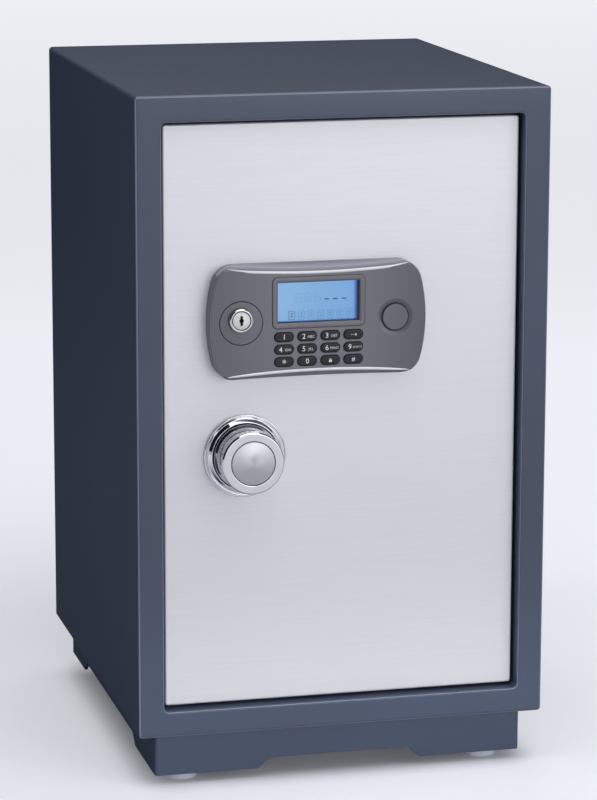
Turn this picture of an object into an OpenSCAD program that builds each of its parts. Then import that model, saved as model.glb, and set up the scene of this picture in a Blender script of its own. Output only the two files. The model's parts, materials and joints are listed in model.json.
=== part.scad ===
// Electronic safe: a steel cabinet on a plinth, with a recessed door that carries
// a control panel, a turning knob and the boltwork behind it.
// The model rests on z = 0 and is centred on its bounding box in x and y.
// Inside the modules, y is counted from the cabinet's front face towards the back.

/* [Cabinet] */
// Width of the cabinet
cab_w = 400; // [360:5:460]
// Height of the cabinet above its plinth
cab_h = 612; // [580:4:700]
// Depth of the cabinet
cab_d = 450; // [400:5:520]
// Sheet thickness of the outer shell
shell_t = 3; // [2.5:0.5:4]
// Width of the front frame around the door
frame_w = 25; // [22:1:32]
// Outside fold radius of the shell
edge_r = 3.5; // [2:0.5:5]
// Sheet thickness of the back plate
back_t = 3; // [2.5:0.5:5]

/* [Jamb and liner] */
// Sheet thickness of the jamb
jamb_t = 2.5; // [2:0.5:4]
// Depth of the jamb's rear edge behind the front face
jamb_d = 64; // [62:1:80]
// Sheet thickness of the liner
liner_t = 2; // [1.5:0.5:3]
// Space between the liner and the back plate
back_space = 22; // [18:1:40]
// Width of the stop strip that the closed door meets
stop_w = 6; // [4:0.5:7]
// Thickness of the stop strip
stop_t = 4.5; // [3:0.5:5]
// Gap between the closed door and its stop
stop_gap = 0.5; // [0.3:0.1:1]

/* [Wall anchors] */
// Radius of the anchor holes in the back
anchor_r = 6.5; // [5:0.5:8]
// Distance between the anchor holes across the back
anchor_dx = 200; // [160:10:240]
// Distance between the anchor holes up the back
anchor_dz = 320; // [240:10:400]
// Wall of the spacer sleeves around the anchors
sleeve_wall = 3.5; // [2.5:0.5:5]

/* [Plinth and feet] */
// Height of the plinth
plinth_h = 42; // [36:1:60]
// Set-back of the plinth at each side
plinth_in_x = 18; // [12:1:30]
// Set-back of the plinth at the front
plinth_in_y = 14; // [8:1:30]
// Sheet thickness of the plinth
plinth_t = 3; // [2:0.5:4]
// Height of the cut-outs in the plinth's lower edge
notch_h = 10.5; // [8:0.5:16]
// Length of the sloping shoulder of a cut-out
notch_slope = 11; // [6:1:16]
// Length of each leg along the front and back
leg_w = 102; // [80:2:120]
// Length of the leg at the front of each side
leg_front = 98; // [80:2:120]
// Length of the leg at the back of each side
leg_back = 70; // [62:2:100]
// Radius of a levelling foot
foot_r = 16.5; // [12:0.5:20]
// Height of a levelling foot under the plinth
foot_h = 10; // [6:1:16]
// Distance from a foot's centre to the plinth's outer faces
foot_in = 31; // [26:1:36]
// Radius of a foot's threaded stud
stud_r = 4; // [3:0.5:5]
// Length of a foot's stud
stud_len = 22; // [18:1:28]
// Thickness of the corner gussets that hold the feet
gusset_t = 4; // [3:0.5:6]

/* [Shelf and mat] */
// Height of the shelf's top above the liner's floor
shelf_up = 270; // [200:10:360]
// Sheet thickness of the shelf
shelf_t = 2; // [1.5:0.5:3]
// Height of the shelf's folded front lip
shelf_lip = 18; // [12:1:30]
// Set-back of the shelf behind the jamb
shelf_in = 16; // [12:1:60]
// Thickness of the floor mat
mat_t = 2.5; // [2:0.5:5]
// Reach of a shelf clip's ledge from the wall
clip_reach = 9; // [8:1:14]
// Width of a shelf clip
clip_w = 14; // [10:1:20]

/* [Door] */
// Depth of the door's face behind the front frame
door_rec = 12; // [10:0.5:14]
// Gap around the door
door_gap = 3; // [2.5:0.25:4]
// Sheet thickness of the door's brushed skin
skin_t = 1.5; // [1:0.25:2]
// Depth of the skin's folded rim
pan_d = 18; // [17:0.5:20]
// Thickness of the door plate behind the skin
plate_t = 4; // [3:0.5:5]
// Corner radius of the door's face
door_r = 3; // [1:0.5:6]

/* [Hinge] */
// Distance of the pivot from the door's right edge
hinge_in = 36; // [34:1:40]
// Depth of the pivot behind the door's face
hinge_back = 12; // [11.5:0.25:12.5]
// Radius of the hinge pin
pin_r = 4; // [3:0.25:4]
// Radial clearance of the pin in its block
pin_clear = 0.05; // [0.02:0.01:0.1]
// Width of a hinge block
block_w = 16; // [13:0.5:18]
// Height of a hinge block
block_h = 20; // [16:1:30]

/* [Boltwork] */
// Radius of a locking bolt
bolt_r = 9; // [7:0.5:10]
// Length of a locking bolt
bolt_len = 40; // [36:1:44]
// Throw of the locking bolts
throw = 20; // [16:1:20]
// Distance from the middle bolt to each outer bolt
bolt_step = 188; // [140:4:210]
// Running clearance of a bolt in the chassis
bolt_clear = 0.1; // [0.05:0.05:0.1]
// Clearance of a bolt in the jamb's strike hole
strike_clear = 1.5; // [1:0.25:3]
// Set-back of the boltwork chassis from the door's left edge
chassis_in_l = 12; // [12:1:16]
// Set-back of the boltwork chassis from the door's right edge
chassis_in_r = 54; // [50:1:64]
// Set-back of the boltwork chassis from the door's top and bottom
chassis_in_z = 18; // [14:1:30]
// Sheet thickness of the chassis
chassis_t = 2; // [1.5:0.5:2.5]
// Width of the chassis flange that the cover screws into
flange_w = 14; // [12:1:18]
// Thickness of the inner cover
cover_t = 1.5; // [1:0.25:2]
// Gap between the door's rear face and the end of the jamb
cover_gap = 2; // [1:0.5:4]
// Thickness of the bolt carriage's plate
web_t = 3; // [2.5:0.5:4]
// Thickness of the carriage bar that carries the bolts
bar_t = 4; // [3:0.5:5]

/* [Knob] */
// Distance of the knob from the door's left edge
knob_in = 77.5; // [74:0.5:82]
// Height of the knob's axis above the cabinet's underside
knob_up = 269; // [255:1:280]
// Radius of the knob's rose
rose_r = 40; // [36:0.5:44]
// Thickness of the rose
rose_t = 6; // [5:0.5:7]
// Radius of the knob's front disc
disc_r = 30; // [26:0.5:32]
// Radius of the knob's drum
drum_r = 28; // [24:0.5:29]
// Reach of the knob in front of the door
knob_len = 40; // [38:1:48]
// Radius of the dome in the knob's front
dome_r = 20.5; // [16:0.5:22]
// Rise of the dome over the front disc
dome_rise = 2.5; // [1.5:0.5:4]
// Radius of the spindle
spindle_r = 6; // [5:0.5:7]
// Running clearance of the spindle in its bush
spindle_clear = 0.05; // [0.02:0.01:0.1]
// Half of the angle through which the knob turns
half_turn = 30; // [25:1:35]
// Radius of the drive pin on the cam
cam_pin_r = 3; // [2.5:0.25:3.5]

/* [Control panel] */
// Distance of the panel's centre from the door's left edge
panel_in = 145; // [142:0.5:150]
// Height of the panel's centre above the cabinet's underside
panel_up = 398; // [396:0.5:440]
// Width of the panel
panel_w = 209; // [206:1:230]
// Height of the panel
panel_h = 108.5; // [106:0.5:124]
// Thickness of the panel
panel_t = 17; // [15:0.25:18.5]
// Wall of the panel's housing
panel_wall = 2.5; // [2:0.25:2.75]
// Radius of the panel's bowed ends
end_r = 155; // [130:1:180]
// Corner radius of the panel
corner_r = 21.5; // [18:0.5:26]
// Width of the crescent bevels along the panel's top and bottom, at their middle
bevel_w = 8.2; // [5:0.2:9]
// Depth of the crescent bevels at their middle
bevel_d = 13.5; // [8:0.5:14]
// Radius of the bowed ridge of a crescent bevel
ridge_r = 900; // [800:20:1200]

/* [Display] */
// Width of the display window
lcd_w = 78.8; // [70:0.2:82]
// Height of the display window
lcd_h = 38; // [34:0.5:40]
// Height of the window's centre above the panel's centre
lcd_up = 18.25; // [17:0.25:21]
// Width of the bezel's frame
bezel_w = 5.2; // [3:0.2:6]
// Height that the bezel stands proud
bezel_t = 1.2; // [0.8:0.1:2]
// Corner radius of the bezel
bezel_r = 5; // [3:0.5:6]
// Thickness of the window pane
pane_t = 1.5; // [1:0.25:2]

/* [Keypad] */
// Length of a key
key_w = 18.6; // [16:0.2:20]
// Height of a key
key_h = 8.9; // [8:0.1:9.6]
// Distance between columns of keys
key_dx = 22.3; // [22:0.1:24]
// Distance between rows of keys
key_dz = 11.8; // [11.6:0.1:12.4]
// Distance of the middle row below the panel's centre
key_down = 25.9; // [24:0.1:27]
// Height that a key stands proud
key_proud = 1.4; // [1:0.1:2]
// Travel of a key
key_travel = 1; // [0.6:0.1:1.1]
// Clearance around a key
key_gap = 0.3; // [0.2:0.05:0.4]

/* [Locks] */
// Distance of the lock and the cap from the panel's centre
lock_out = 74.5; // [72:0.5:76]
// Radius of the disc around the lock
ring_r = 20.6; // [19.5:0.1:24]
// Distance of the lock's axis above the disc's centre
lock_rise = 3.3; // [0:0.1:4]
// Distance of the lock's axis to the left of the disc's centre
lock_shift = 0.6; // [0:0.1:1.5]
// Width of the groove around the disc
ring_gap = 0.8; // [0.3:0.1:1]
// Radius of the lock's barrel
barrel_r = 11.5; // [10:0.5:13]
// Radius of the lock's turning plug
plug_r = 8.5; // [7:0.5:9]
// Running clearance of a plug in its barrel
plug_clear = 0.05; // [0.02:0.01:0.1]
// Height that the barrel stands proud
barrel_proud = 5; // [2:0.5:8]
// Radius of the cap over the emergency lock
cap_r = 12.4; // [12:0.2:15]
// Clearance around the cap
cap_gap = 0.9; // [0.3:0.1:1]
// Radius of the conical dish around the cap
dish_r = 17.5; // [16.5:0.25:19]
// Depth of the dish
dish_d = 1.6; // [0.5:0.1:1.8]
// Distance that the cap pulls out
cap_pull = 20; // [12:1:30]
// Radius of the emergency lock's barrel
spare_r = 8.5; // [8:0.25:9]
// Radius of the emergency lock's plug
spare_plug_r = 5.5; // [4.5:0.25:6]

/* [Batteries] */
// Radius of a cell
cell_r = 7.25; // [7:0.05:7.5]
// Length of a cell's case
cell_len = 49; // [47:0.5:50]
// Wall of the battery box
tray_wall = 2; // [1.5:0.25:3]
// Distance of the battery box's centre from the chassis' right edge
tray_in = 56; // [54:1:68]
// Height of the battery box's centre above the door's lower edge
tray_up = 150; // [140:2:200]
// Thickness of the battery lid
lid_t = 2; // [1.5:0.25:3]
// Travel of the battery lid
lid_travel = 66; // [40:1:70]

/* [Hidden] */
$fn = 48;

// A cut runs this much past the face it opens
over = 1;
// Space kept between pieces that pass each other without touching
run_gap = 0.3;

// Cabinet levels: the floor, the cabinet's underside and top, the door opening
half_w = cab_w / 2;
cab_z0 = foot_h + plinth_h;
cab_z1 = cab_z0 + cab_h;
open_x = half_w - frame_w;
open_z0 = cab_z0 + frame_w;
open_z1 = cab_z1 - frame_w;
liner_back = cab_d - back_t - back_space - liner_t;
knob_reach = knob_len - door_rec;
front_y = -(cab_d - knob_reach) / 2;

// Door planes: face, plate and rear faces, then the pivot
door_x = open_x - door_gap;
door_z0 = open_z0 + door_gap;
door_z1 = open_z1 - door_gap;
plate_y = door_rec + skin_t;
plate_back = plate_y + plate_t;
pan_back = door_rec + pan_d;
cover_back = jamb_d - cover_gap;
chassis_back = cover_back - cover_t;
hinge_x = door_x - hinge_in;
hinge_y = door_rec + hinge_back;

// Chassis outline
chassis_x0 = -door_x + chassis_in_l;
chassis_x1 = door_x - chassis_in_r;
chassis_z0 = door_z0 + chassis_in_z;
chassis_z1 = door_z1 - chassis_in_z;

// Boltwork: the carriage plate runs behind the lock tails, the bolts behind the stop strip
web_y = 37;
bolt_y = pan_back + stop_gap + stop_t + 3 + bolt_r;
bolt_mid_z = (door_z0 + door_z1) / 2;
bolt_zs = [for (i = [-1, 0, 1]) bolt_mid_z + i * bolt_step];
bolt_tip_x = chassis_x0 - 4;
bar_x0 = bolt_tip_x + bolt_len;
bar_x1 = bar_x0 + bar_t;
bar_end = 26;

// Knob, spindle and cam
knob_x = -door_x + knob_in;
knob_z = cab_z0 + knob_up;
knob_y = door_rec - knob_len;
cam_arm = throw / (2 * sin(half_turn));
cam_pin_x = knob_x + cam_arm * sin(half_turn);
cam_pin_z = knob_z - cam_arm * cos(half_turn);
cam_slot_gap = 0.4;
cam_y0 = 27;
cam_y1 = web_y - 2.5;
web_right = 34;
web_down = 42;
web_up = 44;
web_x1 = knob_x + web_right;
web_z0 = knob_z - web_down;
web_z1 = knob_z + web_up;

// Guide studs of the carriage
guide_r = 4;
guide_clear = 0.4;
guide_in = 20;
guide_up = 30;
guide_x = bar_x1 + guide_in;
guide_zs = [bolt_mid_z - bolt_step + guide_up, bolt_mid_z + bolt_step - guide_up];
tab_half = 16;
tab_rim = 8;
tab_x1 = guide_x + throw + guide_r + guide_clear + tab_rim;

// Solenoid above the carriage plate, with a notch for each end of the bolts' travel
plunger_r = 5;
plunger_x = knob_x - 6;
plunger_y = web_y + web_t / 2;
plunger_travel = 8;
plunger_lift = 1;
notch_w = 2 * plunger_r + 1;
notch_deep = plunger_travel + 2;
coil_half = 13;
coil_up = 9;
coil_len = 44;
coil_rear = 12;
plunger_in = 20;
coil_z0 = web_z1 + plunger_lift + coil_up;
coil_back = plunger_y + coil_rear;

// Control panel
panel_x = -door_x + panel_in;
panel_z = cab_z0 + panel_up;
panel_y = door_rec - panel_t;
face_back = panel_y + panel_wall;
arc_x = panel_w / 2 - end_r;
lcd_x = panel_x;
lcd_z = panel_z + lcd_up;
pane_lip = 1;
board_y = door_rec - 4;
board_t = 1.6;
board_half = 50;
module_t = 7;
cavity_in = bevel_w + 1;
boss_x = 56;
boss_z = 38;
boss_r = 4.5;
screw_r = 2;
key_flange = 1;
key_flange_t = 1.4;
key_flange_y = face_back + run_gap;
mat_y = key_flange_y + key_flange_t + key_travel + 0.1;
ring_flange = 1;
ring_flange_t = 1.5;
face_up = 0.6;
ring_x = panel_x - lock_out;
ring_z = panel_z + face_up;
lock_x = ring_x - lock_shift;
lock_z = ring_z + lock_rise;
cap_x = panel_x + lock_out;
cap_z = panel_z + face_up;
barrel_back = 26;
tail_t = 3;
tail_y = barrel_back + run_gap;

// Battery box: four cells side by side, open at the inner cover
cell_n = 4;
cell_gap = 0.3;
cell_pitch = 2 * cell_r + cell_gap;
tray_x = chassis_x1 - tray_in;
tray_w = cell_n * cell_pitch + cell_gap + 2 * tray_wall;
cell_nub = 1.5;
tray_h = cell_len + cell_nub + 2 * cell_gap + 2 * tray_wall;
tray_z = door_z0 + tray_up;
tray_y = cover_back - 2 * cell_r - 2 * cell_gap - tray_wall;
tray_flange = 3;
lid_over = 3;

// Loom
loom_r = 2.5;
loom_y = 23;
loom_z = panel_z - 26;
loom_hole_r = 5.5;
loom_drop = 40;

steel_dark = [0.29, 0.32, 0.39];
steel_inside = [0.36, 0.38, 0.42];
steel_zinc = [0.66, 0.67, 0.68];
silver = [0.80, 0.81, 0.84];
panel_grey = [0.42, 0.42, 0.46];
key_black = [0.14, 0.15, 0.18];
chrome = [0.82, 0.83, 0.85];

// Puts what is counted from the front face into the model's own frame
module placed() translate([0, front_y, 0]) children();

// A box between two corners
module block(lo, hi) translate(lo) cube(hi - lo);

// A flat shape, x across and z up, thick from one depth to another
module facing(y0, y1) translate([0, y1, 0]) rotate([90, 0, 0]) linear_extrude(height = y1 - y0) children();

// A flat shape, depth across and z up, thick from one x to another
module sideways(x0, x1) translate([x0, 0, 0]) rotate([90, 0, 90]) linear_extrude(height = x1 - x0) children();

module bar_along_y(x, z, r, y0, y1) translate([x, y1, z]) rotate([90, 0, 0]) cylinder(r = r, h = y1 - y0);
module bar_along_x(y, z, r, x0, x1) translate([x0, y, z]) rotate([0, 90, 0]) cylinder(r = r, h = x1 - x0);
module bar_along_z(x, y, r, z0, z1) translate([x, y, z0]) cylinder(r = r, h = z1 - z0);

// A rectangle between two corners with round corners
module round_rect(x0, y0, x1, y1, r) {
    translate([x0 + r, y0]) square([x1 - x0 - 2 * r, y1 - y0]);
    translate([x0, y0 + r]) square([x1 - x0, y1 - y0 - 2 * r]);
    for (x = [x0 + r, x1 - r], y = [y0 + r, y1 - r]) translate([x, y]) circle(r = r);
}

// A rectangle whose two corners at the front are round and whose back ones are square
module front_round(x0, x1, y0, y1, r) {
    translate([x0 + r, y0]) square([x1 - x0 - 2 * r, y1 - y0]);
    translate([x0, y0 + r]) square([x1 - x0, y1 - y0 - r]);
    for (x = [x0 + r, x1 - r]) translate([x, y0 + r]) circle(r = r);
}

// A sheet-metal box with round front edges and round edges from front to back
module folded_box(x0, x1, y0, y1, z0, z1, r) intersection() {
    facing(y0, y1) round_rect(x0, z0, x1, z1, r);
    translate([0, 0, z0]) linear_extrude(height = z1 - z0) front_round(x0, x1, y0, y1, r);
    sideways(x0, x1) mirror([1, -1]) front_round(z0, z1, y0, y1, r);
}

// A pill lying along x
module pill(w, h) {
    square([w - h, h], center = true);
    for (s = [-1, 1]) translate([s * (w - h) / 2, 0]) circle(r = h / 2);
}

module four_corners(dx, dz) for (x = [-dx / 2, dx / 2], z = [-dz / 2, dz / 2]) translate([x, 0, z]) children();

// Cabinet

module outer_shell() color(steel_dark) placed() difference() {
    folded_box(-half_w, half_w, 0, cab_d, cab_z0, cab_z1, edge_r);
    block([-half_w + shell_t, shell_t, cab_z0 + shell_t], [half_w - shell_t, cab_d + over, cab_z1 - shell_t]);
    block([-open_x, -over, open_z0], [open_x, shell_t + over, open_z1]);
}

module anchors() translate([0, 0, (cab_z0 + cab_z1) / 2]) four_corners(anchor_dx, anchor_dz) children();

module back_plate() color(steel_dark) placed() difference() {
    block([-half_w + shell_t, cab_d - back_t, cab_z0 + shell_t], [half_w - shell_t, cab_d, cab_z1 - shell_t]);
    anchors() bar_along_y(0, 0, anchor_r, cab_d - back_t - over, cab_d + over);
}

module door_jamb() color(steel_inside) placed() difference() {
    block([-open_x - jamb_t, shell_t, open_z0 - jamb_t], [open_x + jamb_t, jamb_d, open_z1 + jamb_t]);
    block([-open_x, shell_t - over, open_z0], [open_x, jamb_d + over, open_z1]);
    for (z = bolt_zs) bar_along_x(bolt_y, z, bolt_r + strike_clear, -open_x - jamb_t - over, -open_x + over);
}

// A strip on three sides of the jamb; it stops short of where the hinge side swings in
module door_stop() color(steel_inside) placed() {
    y0 = pan_back + stop_gap;
    y1 = y0 + stop_t;
    x_end = hinge_x - hinge_in - 10;
    block([-open_x, y0, open_z0], [-open_x + stop_w, y1, open_z1]);
    for (z = [open_z0, open_z1 - stop_w]) block([-open_x, y0, z], [x_end, y1, z + stop_w]);
}

clip_in = 60;
clip_ys = [jamb_d + clip_in, liner_back - clip_in];
clip_peg = 3;
clip_flange_t = 1.5;
shelf_z = open_z0 + shelf_up;

module clip_slots(grow) for (s = [-1, 1], y = clip_ys)
    translate([s * (open_x + liner_t / 2), y, shelf_z - shelf_t - clip_peg])
        cube([liner_t + 2 * over, clip_w / 2 + 2 * grow, clip_peg + 2 * grow], center = true);

// The liner is a sleeve of four walls that a flat rear panel closes
module inner_liner() color(steel_inside) placed() difference() {
    block([-open_x - liner_t, jamb_d, open_z0 - liner_t], [open_x + liner_t, liner_back, open_z1 + liner_t]);
    block([-open_x, jamb_d - over, open_z0], [open_x, liner_back + over, open_z1]);
    clip_slots(0.1);
}

module liner_rear() color(steel_inside) placed() difference() {
    block([-open_x - liner_t, liner_back, open_z0 - liner_t],
        [open_x + liner_t, liner_back + liner_t, open_z1 + liner_t]);
    anchors() bar_along_y(0, 0, anchor_r, liner_back - over, liner_back + liner_t + over);
}

module anchor_sleeves() color(steel_zinc) placed() anchors() difference() {
    bar_along_y(0, 0, anchor_r + sleeve_wall, liner_back + liner_t, cab_d - back_t);
    bar_along_y(0, 0, anchor_r, liner_back + liner_t - over, cab_d - back_t + over);
}

// The cut-out of a plinth wall: flat on top, with a sloping shoulder at each end
module notch(from, to, h) polygon([
    [from, -over], [from, 0], [from + notch_slope, h], [to - notch_slope, h], [to, 0], [to, -over]
]);

plinth_x = half_w - plinth_in_x;

module foot_spots() for (x = [-plinth_x + foot_in, plinth_x - foot_in],
    y = [plinth_in_y + foot_in, cab_d - foot_in]) translate([x, y, foot_h]) children();

module base_plinth() color(steel_dark) placed() difference() {
    union() {
        difference() {
            translate([0, 0, foot_h]) linear_extrude(height = plinth_h)
                front_round(-plinth_x, plinth_x, plinth_in_y, cab_d, edge_r);
            block([-plinth_x + plinth_t, plinth_in_y + plinth_t, foot_h - over],
                [plinth_x - plinth_t, cab_d - plinth_t, cab_z0 + over]);
            facing(plinth_in_y - over, cab_d + over) translate([0, foot_h])
                notch(-plinth_x + leg_w, plinth_x - leg_w, notch_h);
            sideways(-plinth_x - over, plinth_x + over) translate([0, foot_h])
                notch(plinth_in_y + leg_front, cab_d - leg_back, notch_h);
        }
        foot_spots() translate([0, 0, gusset_t / 2])
            cube([2 * (foot_in - plinth_t), 2 * (foot_in - plinth_t), gusset_t], center = true);
    }
    foot_spots() translate([0, 0, -over]) cylinder(r = stud_r, h = gusset_t + 2 * over);
}

nut_h = 6;

module levelling_feet() color(silver) placed() foot_spots() {
    translate([0, 0, -foot_h]) cylinder(r = foot_r, h = foot_h);
    cylinder(r = stud_r, h = stud_len);
    translate([0, 0, gusset_t]) cylinder(r = 2 * stud_r, h = nut_h, $fn = 6);
}

module floor_mat() color([0.16, 0.17, 0.2]) placed()
    block([-open_x + 2, jamb_d + 4, open_z0], [open_x - 2, liner_back - 2, open_z0 + mat_t]);

module shelf() color(steel_inside) placed() {
    x = open_x - clip_flange_t - 1;
    y0 = jamb_d + shelf_in;
    y1 = liner_back - 3;
    block([-x, y0, shelf_z - shelf_t], [x, y1, shelf_z]);
    block([-x, y0, shelf_z - shelf_lip], [x, y0 + shelf_t, shelf_z]);
    block([-x, y1 - shelf_t, shelf_z - shelf_t], [x, y1, shelf_z + shelf_lip]);
}

module shelf_clips() color(steel_zinc) placed() {
    clip_slots(0);
    for (s = [-1, 1], y = clip_ys) {
        z = shelf_z - shelf_t - clip_peg;
        translate([s * (open_x - clip_flange_t / 2), y, z - 1])
            cube([clip_flange_t, clip_w, 2 * clip_peg + 2], center = true);
        translate([s * (open_x - clip_reach / 2), y, z + clip_peg / 2])
            cube([clip_reach, clip_w, clip_peg], center = true);
    }
}

// Each pin stands on the jamb with a collar that carries the door
module hinge_pins() color(steel_zinc) placed() {
    reach = door_gap + skin_t + block_h - 2;
    collar = door_gap - run_gap;
    bar_along_z(hinge_x, hinge_y, pin_r, open_z0, open_z0 + reach);
    bar_along_z(hinge_x, hinge_y, 2 * pin_r, open_z0, open_z0 + collar);
    bar_along_z(hinge_x, hinge_y, pin_r, open_z1 - reach, open_z1);
    bar_along_z(hinge_x, hinge_y, 2 * pin_r, open_z1 - collar, open_z1);
}

// Door

// What passes through the skin and the plate
module door_holes(y0, y1) {
    bar_along_y(knob_x, knob_z, spindle_r + 3, y0, y1);
    bar_along_y(lock_x, lock_z, barrel_r, y0, y1);
    bar_along_y(cap_x, cap_z, spare_r, y0, y1);
    bar_along_y(panel_x, loom_z, loom_hole_r, y0, y1);
    translate([panel_x, 0, panel_z]) four_corners(2 * boss_x, 2 * boss_z)
        bar_along_y(0, 0, screw_r + run_gap, y0, y1);
}

module door_skin() color(silver) placed() difference() {
    folded_box(-door_x, door_x, door_rec, pan_back, door_z0, door_z1, door_r);
    block([-door_x + skin_t, plate_y, door_z0 + skin_t], [door_x - skin_t, pan_back + over, door_z1 - skin_t]);
    door_holes(door_rec - over, plate_y + over);
    for (z = [door_z0 - over, door_z1 - skin_t - over])
        bar_along_z(hinge_x, hinge_y, pin_r + run_gap, z, z + skin_t + 2 * over);
}

module door_plate() color(steel_inside) placed() difference() {
    block([-door_x + skin_t, plate_y, door_z0 + skin_t], [door_x - skin_t, plate_back, door_z1 - skin_t]);
    door_holes(plate_y - over, plate_back + over);
}

module hinge_blocks() color(steel_zinc) placed() difference() {
    for (z = [door_z0 + skin_t, door_z1 - skin_t - block_h])
        block([hinge_x - block_w / 2, plate_back, z], [hinge_x + block_w / 2, pan_back, z + block_h]);
    bar_along_z(hinge_x, hinge_y, pin_r + pin_clear, door_z0, door_z1);
}

// Where the cover's screws stand, round the chassis flange
module cover_screw_spots() {
    x_mid = (chassis_x0 + chassis_x1) / 2;
    z_mid = (chassis_z0 + chassis_z1) / 2;
    in = flange_w / 2;
    for (x = [chassis_x0 + in, chassis_x1 - in], z = [chassis_z0 + in, z_mid, chassis_z1 - in])
        translate([x, 0, z]) children();
    for (z = [chassis_z0 + in, chassis_z1 - in]) translate([x_mid, 0, z]) children();
}

module bolt_chassis() color(steel_inside) placed() difference() {
    block([chassis_x0, plate_back, chassis_z0], [chassis_x1, chassis_back, chassis_z1]);
    block([chassis_x0 + chassis_t, plate_back - over, chassis_z0 + chassis_t],
        [chassis_x1 - chassis_t, chassis_back - chassis_t, chassis_z1 - chassis_t]);
    block([chassis_x0 + flange_w, chassis_back - chassis_t - over, chassis_z0 + flange_w],
        [chassis_x1 - flange_w, chassis_back + over, chassis_z1 - flange_w]);
    for (z = bolt_zs)
        bar_along_x(bolt_y, z, bolt_r + bolt_clear, chassis_x0 - over, chassis_x0 + chassis_t + over);
    cover_screw_spots() bar_along_y(0, 0, screw_r, chassis_back - chassis_t - over, chassis_back + over);
}

// The open side of the battery box, seen from inside the safe
module tray_outline(grow) translate([tray_x, tray_z])
    square([tray_w + 2 * grow, tray_h + 2 * grow], center = true);

module inner_cover() color(steel_inside) placed() {
    difference() {
        block([chassis_x0, chassis_back, chassis_z0], [chassis_x1, cover_back, chassis_z1]);
        facing(chassis_back - over, cover_back + over) tray_outline(0);
        cover_screw_spots() bar_along_y(0, 0, screw_r + run_gap, chassis_back - over, cover_back + over);
    }
    lid_rails();
}

module cover_screws() color(steel_zinc) placed() cover_screw_spots() {
    bar_along_y(0, 0, screw_r, chassis_back - chassis_t - 1.5, cover_back);
    intersection() {
        bar_along_y(0, 0, 2 * screw_r, cover_back, cover_back + screw_head);
        translate([0, cover_back + screw_head - screw_dome_r, 0]) sphere(r = screw_dome_r);
    }
}

screw_head = 1.6;
screw_dome_r = 6;

module battery_box() color(key_black) placed() difference() {
    union() {
        facing(tray_y, cover_back) tray_outline(0);
        facing(chassis_back - 1.5, chassis_back) tray_outline(tray_flange);
    }
    facing(tray_y + tray_wall, cover_back + over) tray_outline(-tray_wall);
}

module batteries() color([0.75, 0.58, 0.2]) placed() for (i = [0 : cell_n - 1]) {
    x = tray_x - tray_w / 2 + tray_wall + cell_gap + cell_r + i * cell_pitch;
    y = cover_back - cell_gap - cell_r;
    z = tray_z - tray_h / 2 + tray_wall + cell_gap;
    bar_along_z(x, y, cell_r, z, z + cell_len);
    bar_along_z(x, y, cell_r * 0.36, z + cell_len, z + cell_len + cell_nub);
}

// Half width and half height of the battery lid, and its lowest edge when it is slid off
lid_x = tray_w / 2 + lid_over;
lid_z = tray_h / 2 + lid_over;
lid_y = cover_back + 0.2;
rail_w = 3;
rail_lip = 1.2;

module battery_lid() color(key_black) placed() {
    block([tray_x - lid_x, lid_y, tray_z - lid_z], [tray_x + lid_x, lid_y + lid_t, tray_z + lid_z]);
    for (i = [0 : 3]) {
        z = tray_z + lid_z - 8 - i * 3;
        block([tray_x - 12, lid_y + lid_t, z], [tray_x + 12, lid_y + lid_t + 0.8, z + 1.2]);
    }
}

// Rails that hold the lid by its two long edges, closed at the top
module lid_rails() {
    lip_y = lid_y + lid_t + run_gap;
    z0 = tray_z - lid_z - lid_travel;
    z1 = tray_z + lid_z + run_gap;
    for (s = [-1, 1]) {
        x0 = tray_x + s * (lid_x + run_gap);
        x1 = x0 + s * rail_w;
        xl = x0 - s * 1.5;
        block([min(x0, x1), cover_back, z0], [max(x0, x1), lip_y + rail_lip, z1 + rail_w]);
        block([min(xl, x1), lip_y, z0], [max(xl, x1), lip_y + rail_lip, z1 + rail_w]);
    }
    block([tray_x - lid_x - run_gap, cover_back, z1],
        [tray_x + lid_x + run_gap, lip_y + rail_lip, z1 + rail_w]);
}

// Boltwork

module bolt_carriage() color(steel_zinc) placed() difference() {
    web_back = web_y + web_t;
    slot_r = cam_pin_r + cam_slot_gap;
    union() {
        block([bar_x0, web_y, bolt_zs[0] - bar_end], [bar_x1, bolt_y + bolt_r + 1, bolt_zs[2] + bar_end]);
        block([bar_x0, web_y, web_z0], [web_x1, web_back, web_z1]);
        for (z = guide_zs) block([bar_x0, web_y, z - tab_half], [tab_x1, web_back, z + tab_half]);
    }
    block([cam_pin_x - slot_r, web_y - over, knob_z - cam_arm - slot_r],
        [cam_pin_x + slot_r, web_back + over, cam_pin_z + slot_r]);
    for (x = [plunger_x, plunger_x + throw])
        block([x - notch_w / 2, web_y - over, web_z1 - notch_deep],
            [x + notch_w / 2, web_back + over, web_z1 + over]);
    for (z = guide_zs) facing(web_y - over, web_back + over) translate([guide_x + throw / 2, z])
        pill(throw + 2 * (guide_r + guide_clear), 2 * (guide_r + guide_clear));
}

bolt_nose = 1.5;

module locking_bolts() color(chrome) placed() for (z = bolt_zs) {
    bar_along_x(bolt_y, z, bolt_r, bolt_tip_x + bolt_nose, bar_x0);
    translate([bolt_tip_x, bolt_y, z]) rotate([0, 90, 0])
        cylinder(r1 = bolt_r - bolt_nose, r2 = bolt_r, h = bolt_nose);
}

// Shouldered studs on the door plate that the carriage slides along
module guide_studs() color(steel_zinc) placed() for (z = guide_zs) {
    shoulder = web_y - 0.5;
    head = web_y + web_t + 0.5;
    bar_along_y(guide_x, z, 2 * guide_r, plate_back, shoulder);
    bar_along_y(guide_x, z, guide_r, shoulder, head);
    bar_along_y(guide_x, z, 2 * guide_r, head, head + 2.5);
}

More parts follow.
